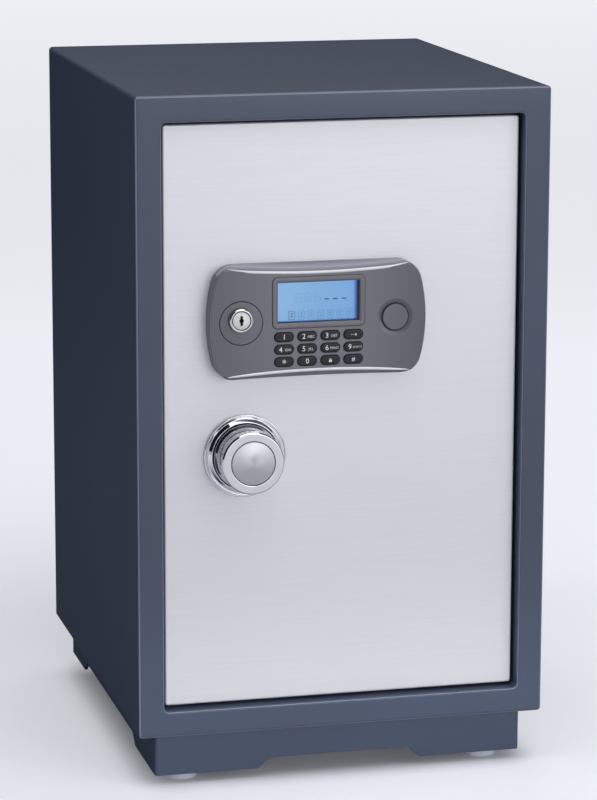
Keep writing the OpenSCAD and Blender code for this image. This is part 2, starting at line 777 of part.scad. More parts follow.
module solenoid_body() color([0.2, 0.35, 0.6]) placed() difference() {
    block([plunger_x - coil_half, plate_back, coil_z0], [plunger_x + coil_half, coil_back, coil_z0 + coil_len]);
    bar_along_z(plunger_x, plunger_y, plunger_r + plug_clear, coil_z0 - over, coil_z0 + coil_len - 8);
}

module solenoid_plunger() color(steel_zinc) placed()
    bar_along_z(plunger_x, plunger_y, plunger_r, web_z1 + plunger_lift, coil_z0 + coil_len - plunger_in);

// Knob

// Turns a profile of radius against distance in front of the door about the knob's axis
module turned_knob() translate([knob_x, door_rec, knob_z]) rotate([90, 0, 0]) rotate_extrude() children();

disc_face = knob_len - dome_rise;
disc_rim_t = 6;
waist_up = 12;
bush_r = spindle_r + 3;

module knob_rose() color(chrome) placed() turned_knob() polygon([
    [bush_r, 0], [rose_r, 0], [rose_r, 0.45 * rose_t], [rose_r - 1, 0.75 * rose_t],
    [rose_r - 2.6, 0.9 * rose_t], [rose_r - 4.5, 0.75 * rose_t], [drum_r + 4.5, 0.75 * rose_t],
    [drum_r + 3.5, rose_t], [bush_r, rose_t]
]);

module knob_bush() color([0.72, 0.6, 0.32]) placed() difference() {
    union() {
        bar_along_y(knob_x, knob_z, bush_r, door_rec - rose_t, plate_back);
        bar_along_y(knob_x, knob_z, bush_r + 4, plate_back, plate_back + 3);
    }
    bar_along_y(knob_x, knob_z, spindle_r + spindle_clear, door_rec - rose_t - over, plate_back + 3 + over);
}

module knob() color(chrome) placed() turned_knob() {
    foot = rose_t + 0.5;
    rim = disc_face - disc_rim_t;
    polygon([
        [spindle_r, foot], [drum_r + 3, foot], [drum_r + 3, foot + 2], [drum_r + 1.6, foot + 3.2],
        [drum_r + 0.6, foot + 6], [drum_r, foot + waist_up],
        [drum_r, rim - disc_rim_t], [drum_r + 0.6, rim - 2.5],
        [disc_r, rim], [disc_r, disc_face - 1.5], [disc_r - 0.5, disc_face - 0.5], [disc_r - 1.5, disc_face],
        [dome_r + run_gap, disc_face], [dome_r + run_gap, disc_face - 3], [spindle_r, disc_face - 3]
    ]);
}

module knob_dome() color([0.74, 0.75, 0.78]) placed() turned_knob() intersection() {
    sphere_r = (dome_r * dome_r + dome_rise * dome_rise) / (2 * dome_rise);
    translate([0, disc_face - 3]) square([dome_r, dome_rise + 3]);
    translate([0, knob_len - sphere_r]) circle(r = sphere_r, $fn = 720);
}

module knob_spindle() color(steel_zinc) placed()
    bar_along_y(knob_x, knob_z, spindle_r, knob_y + dome_rise + 3, cam_y1);

module drive_cam() color(steel_zinc) placed() {
    difference() {
        facing(cam_y0, cam_y1) translate([knob_x, knob_z]) rotate(half_turn) {
            circle(r = 2 * spindle_r);
            translate([-2 * cam_pin_r, -cam_arm]) square([4 * cam_pin_r, cam_arm]);
            translate([0, -cam_arm]) circle(r = 2 * cam_pin_r);
        }
        bar_along_y(knob_x, knob_z, spindle_r, cam_y0 - over, cam_y1 + over);
    }
    bar_along_y(cam_pin_x, cam_pin_z, cam_pin_r, cam_y1, web_y + web_t + 2);
}

// Wiring

module wire(a, b) {
    d = b - a;
    translate(a) sphere(r = loom_r);
    translate(b) sphere(r = loom_r);
    if (d[0] != 0) bar_along_x(a[1], a[2], loom_r, min(a[0], b[0]), max(a[0], b[0]));
    if (d[1] != 0) bar_along_y(a[0], a[2], loom_r, min(a[1], b[1]), max(a[1], b[1]));
    if (d[2] != 0) bar_along_z(a[0], a[1], loom_r, min(a[2], b[2]), max(a[2], b[2]));
}

// The loom leaves the circuit board and branches to the solenoid and the battery box
module wire_loom() color([0.6, 0.15, 0.12]) placed() {
    coil_z = coil_z0 + coil_len / 2;
    cell_y = (tray_y + cover_back) / 2;
    drop_z = tray_z + tray_h / 2 + loom_drop;
    wire([panel_x, board_y + board_t + loom_r, loom_z], [panel_x, loom_y, loom_z]);
    wire([panel_x, loom_y, loom_z], [panel_x, loom_y, coil_z]);
    wire([panel_x, loom_y, coil_z], [plunger_x + coil_half + loom_r, loom_y, coil_z]);
    wire([panel_x, loom_y, loom_z], [tray_x, loom_y, loom_z]);
    wire([tray_x, loom_y, loom_z], [tray_x, loom_y, drop_z]);
    wire([tray_x, loom_y, drop_z], [tray_x, cell_y, drop_z]);
    wire([tray_x, cell_y, drop_z], [tray_x, cell_y, tray_z + tray_h / 2 + loom_r]);
}

module loom_grommet() color(key_black) placed() difference() {
    union() {
        bar_along_y(panel_x, loom_z, loom_hole_r, door_rec, plate_back);
        bar_along_y(panel_x, loom_z, loom_hole_r + 3, plate_back, plate_back + 2);
    }
    bar_along_y(panel_x, loom_z, loom_r, door_rec - over, plate_back + 2 + over);
}

// Control panel

// The panel's outline, drawn in by an even distance all round
module panel_outline(inset) {
    hh = panel_h / 2 - inset;
    re = end_r - inset;
    rc = corner_r - inset;
    fz = hh - rc;
    fx = arc_x + sqrt(pow(re - rc, 2) - fz * fz);
    touch = fz * re / (re - rc);
    square([2 * fx, 2 * hh], center = true);
    for (sx = [-1, 1], sz = [-1, 1]) translate([sx * fx, sz * fz]) circle(r = rc);
    for (s = [-1, 1]) intersection() {
        translate([s * arc_x, 0]) circle(r = re);
        translate([(s - 1) * panel_w / 2, -touch]) square([panel_w, 2 * touch]);
    }
}

module at_panel() translate([panel_x, panel_z]) children();

// The housing's solid form: a flat cone, centred far outside, cuts the crescent bevel along
// the top edge and another along the bottom one, so that each ridge bows towards the middle
module panel_form() difference() {
    slope = bevel_w / bevel_d;
    facing(panel_y, door_rec) at_panel() panel_outline(0);
    for (s = [-1, 1])
        translate([panel_x, panel_y + bevel_d + over, panel_z + s * (panel_h / 2 - bevel_w + ridge_r)])
            rotate([90, 0, 0]) cylinder(r1 = ridge_r - bevel_w - over * slope, r2 = ridge_r + over * slope,
                h = bevel_d + 2 * over, $fn = 720);
}

module key_spot(row, col) translate([panel_x + (col - 1.5) * key_dx, panel_z - key_down - (row - 1) * key_dz])
    children();

// A cone that widens from the cap's gap to the panel's face
module dish() translate([cap_x, panel_y + dish_d, cap_z]) rotate([90, 0, 0]) {
    spread = (dish_r - cap_r - cap_gap) / dish_d;
    cylinder(r1 = cap_r + cap_gap, r2 = dish_r + over * spread, h = dish_d + over);
}

module panel_housing() color(panel_grey) placed() {
    difference() {
        panel_form();
        facing(face_back, door_rec + over) at_panel() panel_outline(cavity_in);
        facing(panel_y + bevel_d + 1, door_rec + over) at_panel() panel_outline(panel_wall);
        facing(panel_y - over, face_back + over) translate([lcd_x, lcd_z])
            square([lcd_w + 2 * pane_lip, lcd_h + 2 * pane_lip], center = true);
        for (row = [0 : 2], col = [0 : 3]) facing(panel_y - over, face_back + over) key_spot(row, col)
            pill(key_w + 2 * key_gap, key_h + 2 * key_gap);
        bar_along_y(ring_x, ring_z, ring_r + ring_gap / 2, panel_y - over, face_back + over);
        bar_along_y(ring_x, ring_z, ring_r + ring_flange + run_gap, face_back, door_rec + over);
        bar_along_y(cap_x, cap_z, cap_r + cap_gap, panel_y - over, face_back + over);
        dish();
    }
    translate([panel_x, 0, panel_z]) four_corners(2 * boss_x, 2 * boss_z) difference() {
        bar_along_y(0, 0, boss_r, face_back, door_rec);
        bar_along_y(0, 0, screw_r, face_back + 2.5, door_rec + over);
    }
}

module panel_screws() color(steel_zinc) placed() translate([panel_x, 0, panel_z])
    four_corners(2 * boss_x, 2 * boss_z) {
        bar_along_y(0, 0, screw_r, face_back + 3, plate_back);
        bar_along_y(0, 0, 2 * screw_r, plate_back, plate_back + 2);
    }

module lcd_bezel() color([0.38, 0.36, 0.4]) placed()
    facing(panel_y - bezel_t, panel_y) translate([lcd_x, lcd_z]) difference() {
        w = lcd_w / 2 + bezel_w;
        h = lcd_h / 2 + bezel_w;
        round_rect(-w, -h, w, h, bezel_r);
        square([lcd_w, lcd_h], center = true);
    }

module lcd_window() color([0.6, 0.8, 0.95, 0.4]) placed() facing(panel_y, panel_y + pane_t)
    translate([lcd_x, lcd_z]) square([lcd_w + 2 * pane_lip, lcd_h + 2 * pane_lip], center = true);

module lcd_module() color([0.49, 0.69, 0.86]) placed()
    facing(board_y - module_t, board_y) translate([lcd_x, lcd_z])
        square([lcd_w + 4, lcd_h + 4], center = true);

module circuit_board() color([0.1, 0.4, 0.2]) placed() facing(board_y, board_y + board_t) at_panel()
    square([2 * board_half, panel_h - 2 * cavity_in - 2], center = true);

// A silicone sheet with one dome under each key
module keypad_mat() color([0.75, 0.75, 0.78]) placed() {
    facing(board_y - 1, board_y) translate([panel_x, panel_z - key_down])
        square([3 * key_dx + key_w, 2 * key_dz + key_h + 2], center = true);
    for (row = [0 : 2], col = [0 : 3]) facing(mat_y, board_y - 1) key_spot(row, col) circle(r = 0.36 * key_h);
}

// One key: a pill with a flange that keeps it behind the housing's face
module key_cap(n) color(key_black) placed() {
    row = floor((n - 1) / 4);
    col = (n - 1) % 4;
    facing(panel_y - key_proud, key_flange_y) key_spot(row, col) pill(key_w, key_h);
    facing(key_flange_y, key_flange_y + key_flange_t) key_spot(row, col)
        pill(key_w + 2 * key_flange, key_h + 2 * key_flange);
}

// Locks

module lock_escutcheon() color(panel_grey) placed() difference() {
    union() {
        bar_along_y(ring_x, ring_z, ring_r - ring_gap / 2, panel_y, face_back);
        bar_along_y(ring_x, ring_z, ring_r + ring_flange, face_back, face_back + ring_flange_t);
    }
    bar_along_y(lock_x, lock_z, barrel_r, panel_y - over, face_back + ring_flange_t + over);
}

// A turned barrel with a chamfered front edge, bored for its plug
module barrel(x, z, r, bore, y0, y1) translate([x, y1, z]) rotate([90, 0, 0]) rotate_extrude()
    polygon([[bore, 0], [r, 0], [r, y1 - y0 - 0.8], [r - 0.8, y1 - y0], [bore, y1 - y0]]);

// A plug with a keyway at the front and a tail behind the door
module plug(x, z, r, y0, tail_len) {
    difference() {
        bar_along_y(x, z, r, y0, barrel_back);
        block([x - 0.14 * r, y0 - over, z - 0.54 * r], [x + 0.14 * r, y0 + r, z + 0.54 * r]);
        bar_along_y(x, z, 0.24 * r, y0 - over, y0 + r);
    }
    bar_along_y(x, z, r / 2, barrel_back, tail_y + tail_t);
    block([x - r / 2, tail_y, z - r / 2], [x + r / 2, tail_y + tail_t, z + tail_len]);
}

lock_front = panel_y - barrel_proud;
spare_front = panel_y + 6.5;

module lock_barrel() color(chrome) placed()
    barrel(lock_x, lock_z, barrel_r, plug_r + plug_clear, lock_front, barrel_back);

module lock_plug() color(chrome) placed() plug(lock_x, lock_z, plug_r, lock_front + 0.4, 20);

module emergency_cap() color(panel_grey) placed() {
    bar_along_y(cap_x, cap_z, cap_r, panel_y - 0.3, face_back);
    difference() {
        bar_along_y(cap_x, cap_z, cap_r - 1, face_back, door_rec - 3 - run_gap);
        bar_along_y(cap_x, cap_z, cap_r - 2.5, face_back, door_rec);
    }
}

module emergency_lock() color(steel_zinc) placed() {
    barrel(cap_x, cap_z, spare_r, spare_plug_r + plug_clear, spare_front, barrel_back);
    difference() {
        bar_along_y(cap_x, cap_z, cap_r + 2, door_rec - 3, door_rec);
        bar_along_y(cap_x, cap_z, spare_r, door_rec - 3 - over, door_rec + over);
    }
}

module emergency_plug() color(steel_zinc) placed() plug(cap_x, cap_z, spare_plug_r, spare_front + 0.4, 14);

outer_shell();
back_plate();
door_jamb();
door_stop();
inner_liner();
liner_rear();
anchor_sleeves();
base_plinth();
levelling_feet();
floor_mat();
shelf();
shelf_clips();
hinge_pins();
door_skin();
door_plate();
hinge_blocks();
bolt_chassis();
inner_cover();
cover_screws();
battery_box();
batteries();
battery_lid();
bolt_carriage();
locking_bolts();
guide_studs();
knob_rose();
knob_bush();
knob();
knob_dome();
knob_spindle();
drive_cam();
solenoid_body();
solenoid_plunger();
wire_loom();
loom_grommet();
panel_housing();
panel_screws();
lcd_bezel();
lcd_window();
lcd_module();
circuit_board();
keypad_mat();
key_cap(1);  // key_1
key_cap(2);  // key_2
key_cap(3);  // key_3
key_cap(4);  // key_4
key_cap(5);  // key_5
key_cap(6);  // key_6
key_cap(7);  // key_7
key_cap(8);  // key_8
key_cap(9);  // key_9
key_cap(10);  // key_10
key_cap(11);  // key_11
key_cap(12);  // key_12
lock_escutcheon();
lock_barrel();
lock_plug();
emergency_cap();
emergency_lock();
emergency_plug();
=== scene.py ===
# %% [markdown]
# Electronic safe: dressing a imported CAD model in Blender.
# The CAD model comes in as a fixed frame. Each visible piece is then either rebuilt here with finer
# edges, or copied from its CAD solid with its edges softened, and gets a material made of nodes.
# Lengths below are in millimetres unless a comment says otherwise, because that is how a safe is
# drawn; they turn into metres once, when a mesh is finished.

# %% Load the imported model
import json
import math
import bmesh
import bpy
from mathutils import Matrix, Vector, noise

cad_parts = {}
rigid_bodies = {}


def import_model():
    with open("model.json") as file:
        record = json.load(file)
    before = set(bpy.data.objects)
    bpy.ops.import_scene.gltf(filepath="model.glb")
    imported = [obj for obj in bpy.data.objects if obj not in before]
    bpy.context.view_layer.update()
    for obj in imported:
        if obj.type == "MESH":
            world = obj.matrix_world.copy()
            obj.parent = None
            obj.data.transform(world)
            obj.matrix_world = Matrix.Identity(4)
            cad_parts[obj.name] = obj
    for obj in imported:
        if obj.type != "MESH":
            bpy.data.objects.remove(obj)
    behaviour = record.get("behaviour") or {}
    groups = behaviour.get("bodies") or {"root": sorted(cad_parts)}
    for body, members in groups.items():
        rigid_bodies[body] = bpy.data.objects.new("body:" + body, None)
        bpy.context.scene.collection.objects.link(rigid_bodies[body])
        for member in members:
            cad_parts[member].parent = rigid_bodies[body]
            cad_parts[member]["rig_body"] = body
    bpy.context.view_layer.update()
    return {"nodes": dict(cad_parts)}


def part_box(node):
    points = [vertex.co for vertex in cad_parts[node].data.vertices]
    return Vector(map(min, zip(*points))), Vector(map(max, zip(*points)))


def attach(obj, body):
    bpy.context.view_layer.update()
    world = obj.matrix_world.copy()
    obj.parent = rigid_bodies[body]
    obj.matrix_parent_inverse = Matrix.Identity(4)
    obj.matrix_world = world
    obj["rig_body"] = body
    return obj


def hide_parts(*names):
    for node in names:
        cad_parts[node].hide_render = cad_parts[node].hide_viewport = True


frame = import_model()
scene = bpy.context.scene
MM = 0.001


def linked(name, data):
    """A new object in the scene, at the origin."""
    made = bpy.data.objects.new(name, data)
    scene.collection.objects.link(made)
    return made


# %% [markdown]
# Places that many pieces share are read from the CAD nodes, so nothing here can drift from them.
# Depth is counted from the cabinet's front plane towards the back, as a fitter would measure it.

# %% Places read from the CAD nodes
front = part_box("outer_shell")[0].y / MM


def metres(x, depth, z):
    """A place in the model's frame, from one in millimetres."""
    return x * MM, (depth + front) * MM, z * MM


def middle(node_name):
    """Centre of a CAD node as (across, up)."""
    low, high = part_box(node_name)
    return (low.x + high.x) / 2 / MM, (low.z + high.z) / 2 / MM


def extent(node_name):
    """Lowest and highest corner of a CAD node as (across, depth, up)."""
    return [(c.x / MM, c.y / MM - front, c.z / MM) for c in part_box(node_name)]


def half_width(node_name):
    low, high = extent(node_name)
    return (high[0] - low[0]) / 2


cab_low, cab_high = extent("outer_shell")
door_low, door_high = extent("door_skin")
panel_low, panel_high = extent("panel_housing")
panel_x, panel_z = middle("panel_housing")
lcd_x, lcd_z = middle("lcd_bezel")
lock_x, lock_z = middle("lock_barrel")
ring_x, ring_z = middle("lock_escutcheon")
cap_x, cap_z = middle("emergency_cap")
knob_x, knob_z = middle("knob")
print("panel centre", panel_x, panel_z, "knob axis", knob_x, knob_z)

# %% [markdown]
# The camera stands where the photographer stood. Its place and turn were worked out from corners of
# the cabinet that can be seen in the photograph, and a long lens keeps the verticals nearly parallel.

# %% Camera
# Metres and radians.
camera_place = (-0.7993, -3.2098, 1.0281)
yaw, pitch, roll = 0.2464, 0.2084, 0.0026
camera_data = bpy.data.cameras.new("camera")
camera_data.lens, camera_data.sensor_width, camera_data.clip_end = 151.3, 36.0, 50.0
camera = linked("camera", camera_data)
camera.matrix_world = (Matrix.Translation(camera_place) @ Matrix.Rotation(-yaw, 4, "Z")
                       @ Matrix.Rotation(math.pi / 2 - pitch, 4, "X") @ Matrix.Rotation(roll, 4, "Z"))
scene.camera = camera
scene.view_settings.view_transform = "Standard"

# %% [markdown]
# Small helpers for node trees. A material is easiest to read when each node is one call that names
# its settings and what it is linked to.

# %% Node helpers
def node(tree, kind, links=None, **settings):
    """Adds a node, sets its settings and fills its inputs with numbers, colours, sockets or nodes.
    A node that is linked stands for its first output."""
    made = tree.nodes.new(kind)
    for key, value in settings.items():
        setattr(made, key, value)
    for key, value in (links or {}).items():
        if isinstance(value, bpy.types.Node):
            value = value.outputs[0]
        if isinstance(value, bpy.types.NodeSocket):
            tree.links.new(value, made.inputs[key])
        else:
            made.inputs[key].default_value = value
    return made


def maths(tree, operation, *values):
    return node(tree, "ShaderNodeMath", dict(enumerate(values)), operation=operation)


def vectors(tree, operation, *values, result="Vector"):
    return node(tree, "ShaderNodeVectorMath", dict(enumerate(values)), operation=operation).outputs[result]


def makes_material(fill_tree):
    """Turns a function that fills a node tree into one that makes a material of a given name."""
    def make(name, *values, **settings):
        made = bpy.data.materials.new(name)
        made.use_nodes = True
        made.node_tree.nodes.clear()
        fill_tree(made.node_tree, *values, **settings)
        return made
    return make


def spot_in(tree):
    """The place of a point in its object, in metres."""
    return node(tree, "ShaderNodeTexCoord").outputs["Object"]


def share_along(tree, axis, low, high):
    """How far a point has come between two places along an axis, from 0 to 1."""
    at_axis = node(tree, "ShaderNodeSeparateXYZ", {"Vector": spot_in(tree)}).outputs[axis]
    return node(tree, "ShaderNodeMapRange", {"Value": at_axis, "From Min": low * MM, "From Max": high * MM})


def cloud(tree, scale, detail=3.0, rough=0.55):
    """Noise whose scale is in cycles per metre, one for all axes or one for each."""
    stretch = scale if isinstance(scale, tuple) else (scale, scale, scale)
    spot = node(tree, "ShaderNodeMapping", {"Vector": spot_in(tree), "Scale": stretch})
    return node(tree, "ShaderNodeTexNoise",
                {"Vector": spot, "Scale": 1.0, "Detail": detail, "Roughness": rough})


def shades(tree, value, *stops):
    """A colour ramp through (position, colour or grey) stops."""
    ramp = node(tree, "ShaderNodeValToRGB", {"Fac": value})
    while len(ramp.color_ramp.elements) < len(stops):
        ramp.color_ramp.elements.new(0.5)
    for element, (position, colour) in zip(ramp.color_ramp.elements, stops):
        element.position = position
        grey = isinstance(colour, (int, float))
        element.color = (colour, colour, colour, 1.0) if grey else (*colour, 1.0)
    return ramp


def between(tree, value, low, high, margin=0.3):
    """A ramp from one colour or grey to another, level near both ends."""
    return shades(tree, value, (margin, low), (1 - margin, high))


def tinted(colour, factor):
    return tuple(min(1.0, c * factor) for c in colour)


def varied(tree, value, colour, down=0.95, up=1.05):
    """A colour that a value makes a little darker or lighter."""
    return between(tree, value, tinted(colour, down), tinted(colour, up))


def relief(tree, height, distance):
    """Bump of a real height in millimetres."""
    return node(tree, "ShaderNodeBump", {"Height": height, "Distance": distance * MM, "Strength": 1.0})


def surface(tree, **links):
    """The Principled shader and the output; a key's underscores stand for the socket's spaces."""
    names = {key.replace("_", " "): value for key, value in links.items()}
    shader = node(tree, "ShaderNodeBsdfPrincipled", names)
    node(tree, "ShaderNodeOutputMaterial", {"Surface": shader})


# %% [markdown]
# The cabinet is powder coated: a satin blue-grey with a faint orange-peel skin and almost no change
# of colour. Noise at about one cycle per millimetre gives the skin, and a slow noise the change.

# %% Powder coat
@makes_material
def powder_coat(tree, colour, rough):
    skin = cloud(tree, 700.0, 2.0)
    surface(tree, Base_Color=varied(tree, cloud(tree, 5.0), colour),
            Roughness=between(tree, skin, rough - 0.04, rough + 0.04), Specular_IOR_Level=0.25,
            Coat_Weight=0.3, Coat_Roughness=0.14, Normal=relief(tree, skin, 0.008))


paint = powder_coat("cabinet powder coat", (0.060, 0.078, 0.124), 0.42)
# Painted highlight: a paler coat for the steepest strip of each fold.
painted_fold_highlight = powder_coat("thin coat on the folds", (0.19, 0.23, 0.31), 0.34)
inner_coat = powder_coat("inner powder coat", (0.10, 0.11, 0.14), 0.55)

# %% [markdown]
# The door's skin is a pale silver sheet with very fine brushing. Brushing is noise stretched hard
# along one axis; two widths of it together look less regular than one.

# %% Brushed silver
@makes_material
def brushed(tree, colour, rough, metallic, stretch):
    fine, broad = cloud(tree, stretch, 4.0, 0.7), cloud(tree, tuple(s * 0.3 for s in stretch))
    streaks = node(tree, "ShaderNodeMix", {"Factor": 0.4, "A": fine, "B": broad}, data_type="FLOAT")
    surface(tree, Base_Color=varied(tree, streaks, colour, 0.965, 1.035), Metallic=metallic,
            Roughness=between(tree, streaks, rough + 0.03, rough - 0.03, 0.35),
            Normal=relief(tree, streaks, 0.0012))


door_silver = brushed("brushed silver sheet", (0.71, 0.715, 0.75), 0.46, 0.45, (30.0, 30.0, 1900.0))

# %% [markdown]
# Machined and plated metal. Chrome is mirror-like with a trace of haze; zinc plate is duller and
# has pale patches; satin metal is turned, so its fine lines run round the axis.

# %% Metals
@makes_material
def plated(tree, colour, low, high, scale, depth=0.0):
    haze = cloud(tree, scale, 4.0)
    pits = {"Normal": relief(tree, haze, depth)} if depth else {}
    surface(tree, Base_Color=varied(tree, haze, colour, 0.96, 1.03), Metallic=1.0,
            Roughness=between(tree, haze, low, high, 0.35), **pits)


@makes_material
def turned_metal(tree, colour, rough, x, z):
    """Fine lathe lines: rings about the axis at (x, z), which spread the light into fans."""
    centred = node(tree, "ShaderNodeMapping", {"Vector": spot_in(tree), "Location": (-x * MM, 0.0, -z * MM)})
    flat = vectors(tree, "MULTIPLY", centred, (1.0, 0.0, 1.0))
    from_axis = vectors(tree, "LENGTH", flat, result="Value")
    lines = node(tree, "ShaderNodeTexNoise", {"W": from_axis, "Scale": 2600.0, "Detail": 3.0},
                 noise_dimensions="1D")
    around_axis = node(tree, "ShaderNodeTangent", direction_type="RADIAL", axis="Y")
    surface(tree, Base_Color=varied(tree, lines, colour, 0.99, 1.01),
            Roughness=between(tree, lines, rough - 0.02, rough + 0.03), Metallic=1.0,
            Normal=relief(tree, lines, 0.0008), Anisotropic=0.75, Tangent=around_axis)


chrome = plated("bright chrome", (0.68, 0.69, 0.72), 0.06, 0.10, 60.0)
lock_chrome = plated("satin chrome", (0.60, 0.60, 0.60), 0.14, 0.22, 90.0)
bolt_chrome = plated("ground chrome", (0.80, 0.81, 0.83), 0.14, 0.22, 220.0)
zinc = plated("zinc plate", (0.62, 0.63, 0.65), 0.30, 0.45, 90.0, 0.01)
blackened = plated("blackened steel", (0.055, 0.057, 0.062), 0.45, 0.6, 120.0, 0.01)
brass = plated("drawn brass", (0.74, 0.57, 0.26), 0.22, 0.34, 150.0)
dome_satin = turned_metal("satin dome", (0.43, 0.44, 0.47), 0.30, knob_x, knob_z)
plug_satin = turned_metal("satin plug", (0.56, 0.56, 0.56), 0.34, lock_x, lock_z)

# %% [markdown]
# The control panel is moulded plastic with a thin metallic lacquer: a mid grey with a soft sheen.
# Its tone along one axis is painted light: the face is painted darker towards both ends, as shade,
# and the upper bevel and the crease along each end are painted paler, as highlights. Black parts are
# plain moulded plastic with a fine grain, and the keys are smoother than those.

# %% Plastics
panel_grey = (0.161, 0.162, 0.189)


@makes_material
def moulded(tree, tone, rough, metallic=0.0, grain=0.004, scale=1500.0, gloss=0.5):
    """Plastic with a fine grain. Its tone is a colour, or a function that makes one in the tree."""
    fine = cloud(tree, scale, 2.0)
    surface(tree, Base_Color=tone(tree) if callable(tone) else varied(tree, cloud(tree, 14.0), tone),
            Roughness=between(tree, fine, rough - 0.05, rough + 0.05), Metallic=metallic,
            Specular_IOR_Level=gloss, Normal=relief(tree, fine, grain))


def lacquer(axis, low, high, *stops):
    """The panel's grey, multiplied along an axis by factors (share of the way, factor): painted light along
    it.
    """
    def tone(tree):
        mist = maths(tree, "MULTIPLY_ADD", cloud(tree, 14.0), 0.06, -0.03)
        share = maths(tree, "ADD", share_along(tree, axis, low, high), mist)
        return shades(tree, share, *[(position, tinted(panel_grey, factor)) for position, factor in stops])
    return tone


bevel_d = 13.5
bevel_y = panel_low[1] + front
# Painted shade: the panel's grey is darker towards both ends of the panel.
panel_lacquer_painted_shade = moulded("panel lacquer", lacquer("X", panel_low[0], panel_high[0], (0.03, 0.72), (0.34, 1.0),
                                                 (0.66, 1.0), (0.97, 0.66)), 0.40, 0.45)
# Painted highlight: a bright band across the middle of the upper bevel's depth.
painted_bevel_highlight = moulded("polished bevel", lacquer("Y", bevel_y, bevel_y + bevel_d, (0.15, 1.1), (0.5, 2.4),
                                                   (0.95, 1.3)), 0.34, 0.45)
# Painted highlight: a paler grey for the small crease along each end of the panel.
painted_crease_highlight = moulded("pale crease", (0.27, 0.275, 0.31), 0.34, 0.45)
bezel_lacquer = moulded("bezel lacquer", (0.150, 0.145, 0.165), 0.40, 0.35)
# Painted shadow: the dark of the seam round the bezel.
painted_seam_shadow = moulded("seam shadow", (0.050, 0.038, 0.042), 0.6)
# Painted highlight: the pale silver of the beads along the ridges.
ridge_painted_highlight = moulded("silver trim", (0.62, 0.63, 0.66), 0.38, 0.6)
key_black = moulded("key plastic", (0.013, 0.014, 0.019), 0.36, grain=0.002, gloss=0.3)
black_plastic = moulded("black plastic", (0.026, 0.026, 0.030), 0.45, grain=0.01)
foot_plastic = moulded("foot plastic", (0.50, 0.55, 0.62), 0.30)
rubber = moulded("black rubber", (0.018, 0.018, 0.019), 0.7, grain=0.02, scale=900.0)
silicone = moulded("grey silicone", (0.42, 0.42, 0.44), 0.6)
coil_blue = moulded("coil casing", (0.05, 0.10, 0.26), 0.4)
board_green = moulded("board lacquer", (0.02, 0.14, 0.06), 0.3)
legend_white = moulded("legend ink", (0.80, 0.81, 0.83), 0.5)
# Painted shade: the dark inside gaps, grooves, the keyhole and round the dome's seat.
painted_recess_shade = moulded("dark recess", (0.012, 0.012, 0.014), 0.6)
sleeve = moulded("wire sleeve", (0.05, 0.05, 0.055), 0.55, grain=0.01)

# %% [markdown]
# The display is a back-lit blue panel. The light is strongest in the middle of the pane and gets a
# little deeper in colour towards its right edge. Along its right and lower edges it is painted almost
# black: painted shade of the window's inner walls. The marks on it are liquid crystal: dark blue where
# they are driven and barely darker than the pane where they are not.

# %% Display materials
@makes_material
def display_glow(tree):
    low, high = extent("lcd_window")
    # Painted shade: the glow falls to almost black along the pane's right and lower edges.
    side = shades(tree, share_along(tree, "X", low[0], high[0]), (0.02, (0.27, 0.51, 0.80)),
                  (0.5, (0.215, 0.45, 0.76)), (0.93, (0.19, 0.42, 0.76)), (0.955, (0.045, 0.17, 0.60)),
                  (0.970, (0.02, 0.08, 0.40)), (0.980, (0.004, 0.008, 0.03)))
    foot = shades(tree, share_along(tree, "Z", low[2], high[2]), (0.015, 0.02),
                  (0.035, (0.20, 0.35, 0.72)), (0.06, 0.95), (0.9, 1.0))
    glow = node(tree, "ShaderNodeMix", {"Factor": 1.0, "A": side, "B": foot}, data_type="RGBA",
                blend_type="MULTIPLY")
    colour = [s for s in glow.outputs if s.type == "RGBA"][0]
    surface(tree, Base_Color=between(tree, cloud(tree, 30.0), (0.02, 0.05, 0.09), (0.03, 0.06, 0.1)),
            Roughness=0.3, Emission_Color=colour, Emission_Strength=0.80)


@makes_material
def crystal(tree, colour, strength):
    surface(tree, Base_Color=(0.015, 0.03, 0.06, 1.0), Roughness=0.4,
            Emission_Color=varied(tree, cloud(tree, 400.0), colour), Emission_Strength=strength)


@makes_material
def clear_pane(tree):
    surface(tree, Base_Color=(0.95, 0.97, 1.0, 1.0), Transmission_Weight=1.0, IOR=1.2,
            Roughness=shades(tree, cloud(tree, 45.0), (0.3, 0.02), (0.8, 0.05)))


glow_blue = display_glow("display light")
mark_dark = crystal("driven segments", (0.012, 0.04, 0.10), 0.5)
mark_half = crystal("first icon", (0.085, 0.21, 0.42), 0.8)
mark_faint = crystal("resting segments", (0.165, 0.37, 0.66), 0.8)
mark_icon = crystal("resting icons", (0.145, 0.34, 0.61), 0.8)
pane_clear = clear_pane("window pane")

# %% [markdown]
# Felt is a mat of fibres: matt, with a pale fuzz at grazing angles, which the sheen input gives.
# The cells have a printed wrap with a plain metal end, so their colour changes along their length.

# %% Felt and cells
@makes_material
def felt_cloth(tree, colour):
    fibres = cloud(tree, (900.0, 700.0, 900.0), 5.0, 0.75)
    surface(tree, Base_Color=varied(tree, fibres, colour, 0.7, 1.5), Roughness=0.95, Sheen_Weight=0.5,
            Sheen_Roughness=0.5, Normal=relief(tree, fibres, 0.25))


@makes_material
def cell_wrap(tree):
    low, high = extent("batteries")
    band = share_along(tree, "Z", low[2], high[2])
    black, copper = (0.03, 0.03, 0.035), (0.62, 0.36, 0.10)
    surface(tree, Base_Color=shades(tree, band, (0.03, (0.55, 0.55, 0.56)), (0.04, black), (0.66, black),
                                    (0.67, copper), (0.955, copper), (0.965, (0.6, 0.6, 0.61))),
            Metallic=shades(tree, band, (0.03, 1.0), (0.04, 0.1), (0.66, 0.1), (0.67, 0.7), (0.97, 1.0)),
            Roughness=between(tree, cloud(tree, 120.0), 0.26, 0.36))


